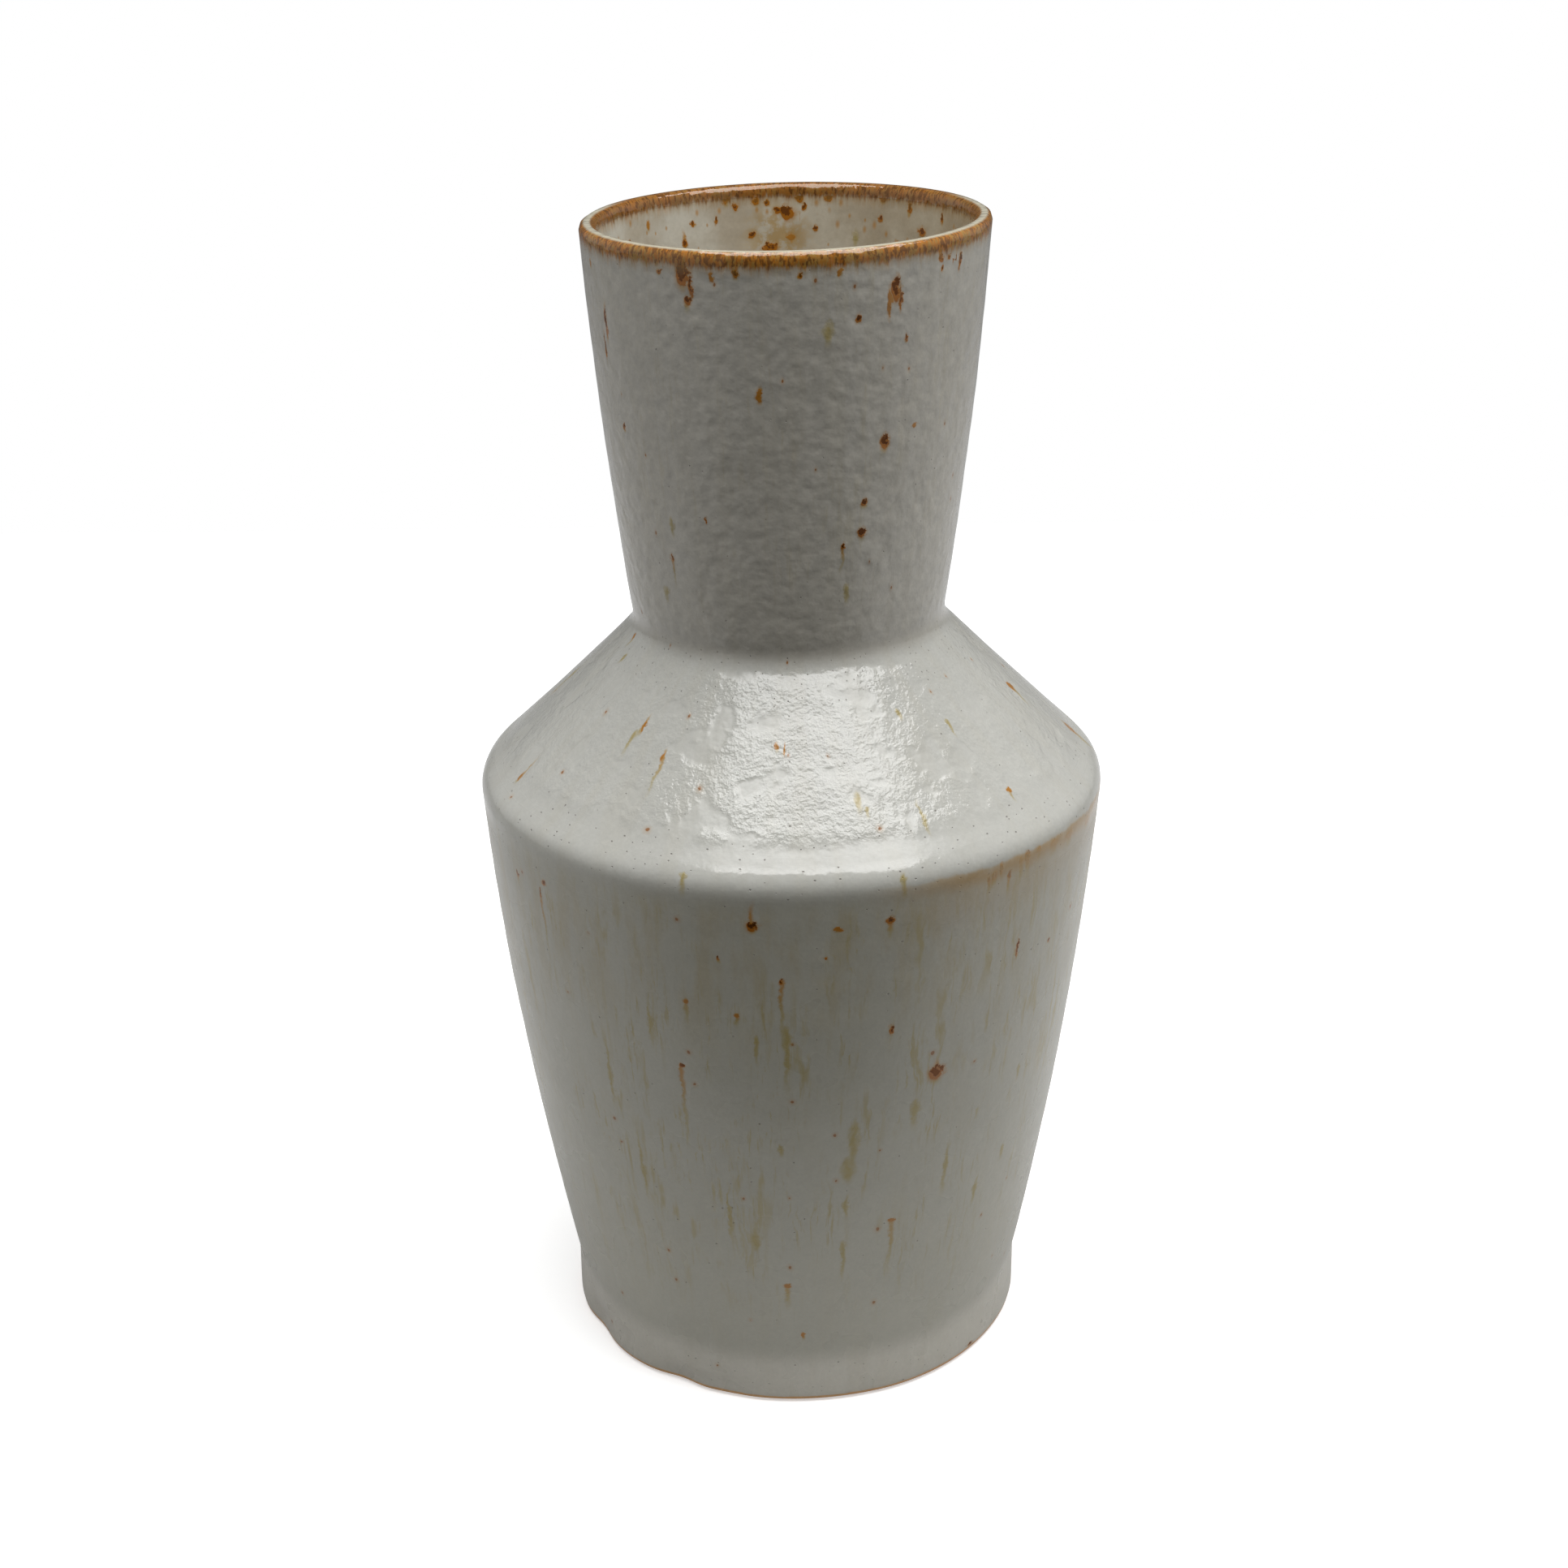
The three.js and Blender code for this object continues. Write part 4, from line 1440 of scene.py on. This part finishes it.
INNER_FLECKS = placed(
    (179.6, 292.6, 1.7, 1.5, 0, 2), (-177.5, 293.4, 0.9, 0.8, 0, 1), (-160.4, 296.9, 0.6, 1.1, 0, 3),
    (-170.6, 296.0, 0.8, 0.8, 0, 2), (-174.2, 295.5, 0.5, 0.8, 0, 1), (-163.6, 294.7, 0.7, 0.8, 0, 1),
    (174.9, 296.4, 0.8, 1.0, 0, 2), (173.7, 294.2, 0.4, 0.8, 0, 1), (165.8, 296.4, 0.9, 1.0, 0, 1),
    (146.7, 297.0, 0.8, 0.9, 0, 2), (136.0, 295.2, 0.5, 1.3, 0, 3), (147.4, 291.7, 0.5, 0.7, 0, 1),
    (-148.4, 291.6, 0.55, 0.6, 0, 1), (-156.7, 291.8, 0.35, 0.8, 0, 1), (-168.9, 287.4, 0.6, 0.7, 0, 1),
    (-175.1, 284.0, 1.5, 1.1, 0, 3), (178.0, 286.5, 0.8, 0.7, 0, 1, Iron.OCHRE),
    (-144.7, 287.0, 0.7, 0.9, 4, 2), (129.7, 289.8, 1.1, 0.9, 0, 2), (111.1, 291.8, 0.5, 0.7, 0, 2),
    (120.0, 294.0, 0.4, 1.1, 0, 2), (169.9, 288.6, 0.4, 0.6, 0, 1),
    (-130.0, 293.0, 0.4, 0.8, 0, 2, Iron.OCHRE), (-120.0, 290.0, 0.5, 0.6, 0, 2),
    (156.0, 287.0, 0.6, 1.0, 0, 4, Iron.OLIVE), (140.0, 285.5, 0.5, 0.8, 0, 3, Iron.OCHRE),
)


def strewn(count: int, seed: int, turn: Span, rise: Span) -> tuple[Fleck, ...]:
    """Flecks for where none are listed.

    Args:
        count: how many.
        seed: the random generator's seed.
        turn: the angles that they lie between.
        rise: the heights that they lie between.

    Returns:
        The flecks.
    """
    often = {Iron.RUST: 5, Iron.OCHRE: 3, Iron.OLIVE: 5}
    small, large, mostly_small = (0.3, 0.6), (0.8, 1.4), 0.7
    lots = random.Random(seed)
    made = []
    for _ in range(count):
        iron = lots.choices(tuple(often), tuple(often.values()))[0]
        wide = lots.uniform(*small) if lots.random() < mostly_small else lots.uniform(*large)
        below = wide * lots.uniform(1, 12)
        angle, height = lots.uniform(*turn), lots.uniform(*rise)
        tall = wide * lots.uniform(0.8, 1.7)
        made.append(Fleck(angle, height, wide, tall, wide * lots.uniform(0, 5), below, iron))
    return tuple(made)


OUTER_FLECKS = NECK_FLECKS + SHOULDER_FLECKS + BODY_FLECKS + STAIN_FLECKS
OUTER_FLECKS += strewn(90, 11, (74.0, 292.0), (12.0, 294.0))
LINER_FLECKS = INNER_FLECKS + strewn(120, 5, (-105.0, 105.0), (150.0, 296.0))
LINER_FLECKS += strewn(60, 6, (105.0, 255.0), (150.0, 282.0))


# ---- The studio ----


@dataclass(frozen=True)
class Softbox:
    """The lamp overhead.

    Attributes:
        left: its left edge, in metres.
        right: its right edge.
        near: its edge on the camera's side.
        back: its other edge.
        height: how high it hangs.
        radiance: how bright its face is, next to a white of 1.
        turn: degrees that it is turned about its middle.
    """

    left: float = -0.42
    right: float = 0.70
    near: float = -0.56
    back: float = 0.34
    height: float = 1.17
    radiance: float = 6.95
    turn: float = -3.0

    def hang(self) -> None:
        """Adds the lamp to the scene, out of the camera's sight."""
        light = bpy.data.lights.new("softbox", "AREA")
        light.shape = "RECTANGLE"
        light.size, light.size_y = self.right - self.left, self.back - self.near
        light.energy = self.radiance * math.pi * light.size * light.size_y
        lamp = bpy.data.objects.new("softbox", light)
        bpy.context.scene.collection.objects.link(lamp)
        lamp.location = ((self.left + self.right) / 2, (self.near + self.back) / 2, self.height)
        lamp.rotation_euler.z = math.radians(self.turn)
        lamp.visible_camera = False


@dataclass(frozen=True)
class Glow:
    """A soft bright part of the surroundings.

    Attributes:
        towards: the direction of its middle, a unit vector.
        edge: the cosine at which it starts.
        full: the cosine at which it is full.
        radiance: how bright it is, next to a white of 1.
    """

    towards: tuple[float, float, float]
    edge: float
    full: float
    radiance: float


@dataclass(frozen=True)
class Studio:
    """A pale floor, soft light and a camera that looks a little down on the vase."""

    lens: float = 57.4
    camera_side: float = -0.0014
    camera_back: float = 0.610
    camera_height: float = 0.4024
    look_down: float = 22.374
    roll: float = -0.622
    clip_start: float = 0.01
    floor_size: float = 1.9
    floor_front: float = -1.15
    floor_white: float = 0.85
    floor_glow: float = 0.48
    bounce_front: float = -0.16
    bounce_size: float = 4.5
    bounce_white: float = 0.64
    bounce_drop: float = 0.001
    cloud_size: float = 300.0
    cloud: float = 0.02
    softbox: Softbox = Softbox()
    dim: float = 0.01
    glows: tuple[Glow, ...] = (
        Glow((0.0, 1.0, 0.0), -0.1, 0.6, 0.05),
        Glow((-1.0, 0.0, 0.0), 0.3, 0.9, 0.52),
        Glow((1.0, 0.0, 0.0), 0.3, 0.9, 0.53),
    )

    def build(self) -> None:
        """Sets up the camera, the floor, the lamp and the surroundings."""
        self._camera()
        self._floor()
        self.softbox.hang()
        self._surroundings()
        bpy.context.scene.view_settings.view_transform = "Standard"

    def _camera(self) -> None:
        """Adds the camera."""
        data = bpy.data.cameras.new("camera")
        data.lens = self.lens
        data.clip_start = self.clip_start
        camera = bpy.data.objects.new("camera", data)
        bpy.context.scene.collection.objects.link(camera)
        tilt = Matrix.Rotation(math.radians(90 - self.look_down), 4, "X")
        roll = Matrix.Rotation(math.radians(self.roll), 4, "Z")
        place = Vector((self.camera_side, -self.camera_back, self.camera_height))
        camera.matrix_world = Matrix.Translation(place) @ tilt @ roll
        bpy.context.scene.camera = camera

    def _sheet(self, name: str, size: float, front: float, drop: float, white: float,
               glow: float) -> bpy.types.Object:
        """Lays a pale square sheet under the vase.

        Args:
            name: what it is.
            size: its side, in metres.
            front: how far its front edge is from the vase's axis.
            drop: how far it lies under the vase.
            white: how white it is.
            glow: how much light it gives off by itself.

        Returns:
            The sheet.
        """
        bpy.ops.object.select_all(action="DESELECT")
        place = (0.0, front + size / 2, CAD_BOX[0][2] - drop)
        bpy.ops.mesh.primitive_plane_add(size=size, location=place)
        bpy.ops.object.transform_apply(location=True, rotation=True, scale=True)
        sheet = start_piece(name)
        bench = Bench.of_material(name)
        tint = bench.noise(bench.place(), self.cloud_size, 2.0) * self.cloud + white
        constants = {"Roughness": 0.9, "Emission Color": (1.0, 1.0, 1.0, 1.0), "Emission Strength": glow}
        links = {"Base Color": bench.joined(tint, tint, tint)}
        sheet.data.materials.append(bench.surface(constants, links, None))
        return sheet

    def _floor(self) -> None:
        """Adds the floor to look at, and the sheet beneath that throws light on the vase."""
        floor = self._sheet("floor", self.floor_size, self.floor_front, 0.0, self.floor_white,
                            self.floor_glow)
        floor.visible_diffuse = False
        floor.visible_glossy = False
        floor.visible_shadow = False
        bounce = self._sheet("bounce", self.bounce_size, self.bounce_front, self.bounce_drop,
                             self.bounce_white, 0.0)
        bounce.visible_camera = False

    def _surroundings(self) -> None:
        """White to look at, but bright for the vase only where the glows are."""
        world = bpy.data.worlds.new("surroundings")
        bpy.context.scene.world = world
        bench = Bench(world)
        direction = bench.add("ShaderNodeTexCoord", {}, {}, "Generated")
        strength: Value = self.dim
        for glow in self.glows:
            sides = {0: direction, 1: glow.towards}
            facing = bench.add("ShaderNodeVectorMath", {"operation": "DOT_PRODUCT"}, sides, "Value")
            strength = facing.climb(glow.edge, glow.full) * glow.radiance + strength
        seen = bench.add("ShaderNodeLightPath", {}, {}, "Is Camera Ray")
        light = {"Color": (1.0, 1.0, 1.0, 1.0), "Strength": strength + seen * (1.0 - strength)}
        sky = bench.add("ShaderNodeBackground", {}, light)
        bench.node("ShaderNodeOutputWorld", {}, {"Surface": sky})


def main() -> None:
    """Builds the vase piece by piece and sets the studio round it."""
    logging.basicConfig(level=logging.INFO, format="%(name)s: %(message)s")
    Studio().build()
    ClaySections().build(BareStoneware().material(), FiredSlip().material())
    lip_end = -(FORM.lip_coat + FORM.lip_top)
    outer = GlazeCoat(
        node="outer_glaze",
        slot=Slot.OUTER,
        start=PATH.way_at_height(FORM.bare_foot),
        end=lip_end,
        step=1.25,
        back_step=6.0,
        segments=300,
        flecks=OUTER_FLECKS,
    )
    outer.build(OffWhiteGlaze().material())
    inner = GlazeCoat(
        node="inner_glaze",
        slot=Slot.INNER,
        start=lip_end - FORM.coat_seam,
        end=float(PATH.way[-1]),
        step=1.8,
        back_step=8.0,
        segments=240,
        flecks=LINER_FLECKS,
    )
    inner.build(BeigeLiner().material())


if __name__ == "__main__":
    main()
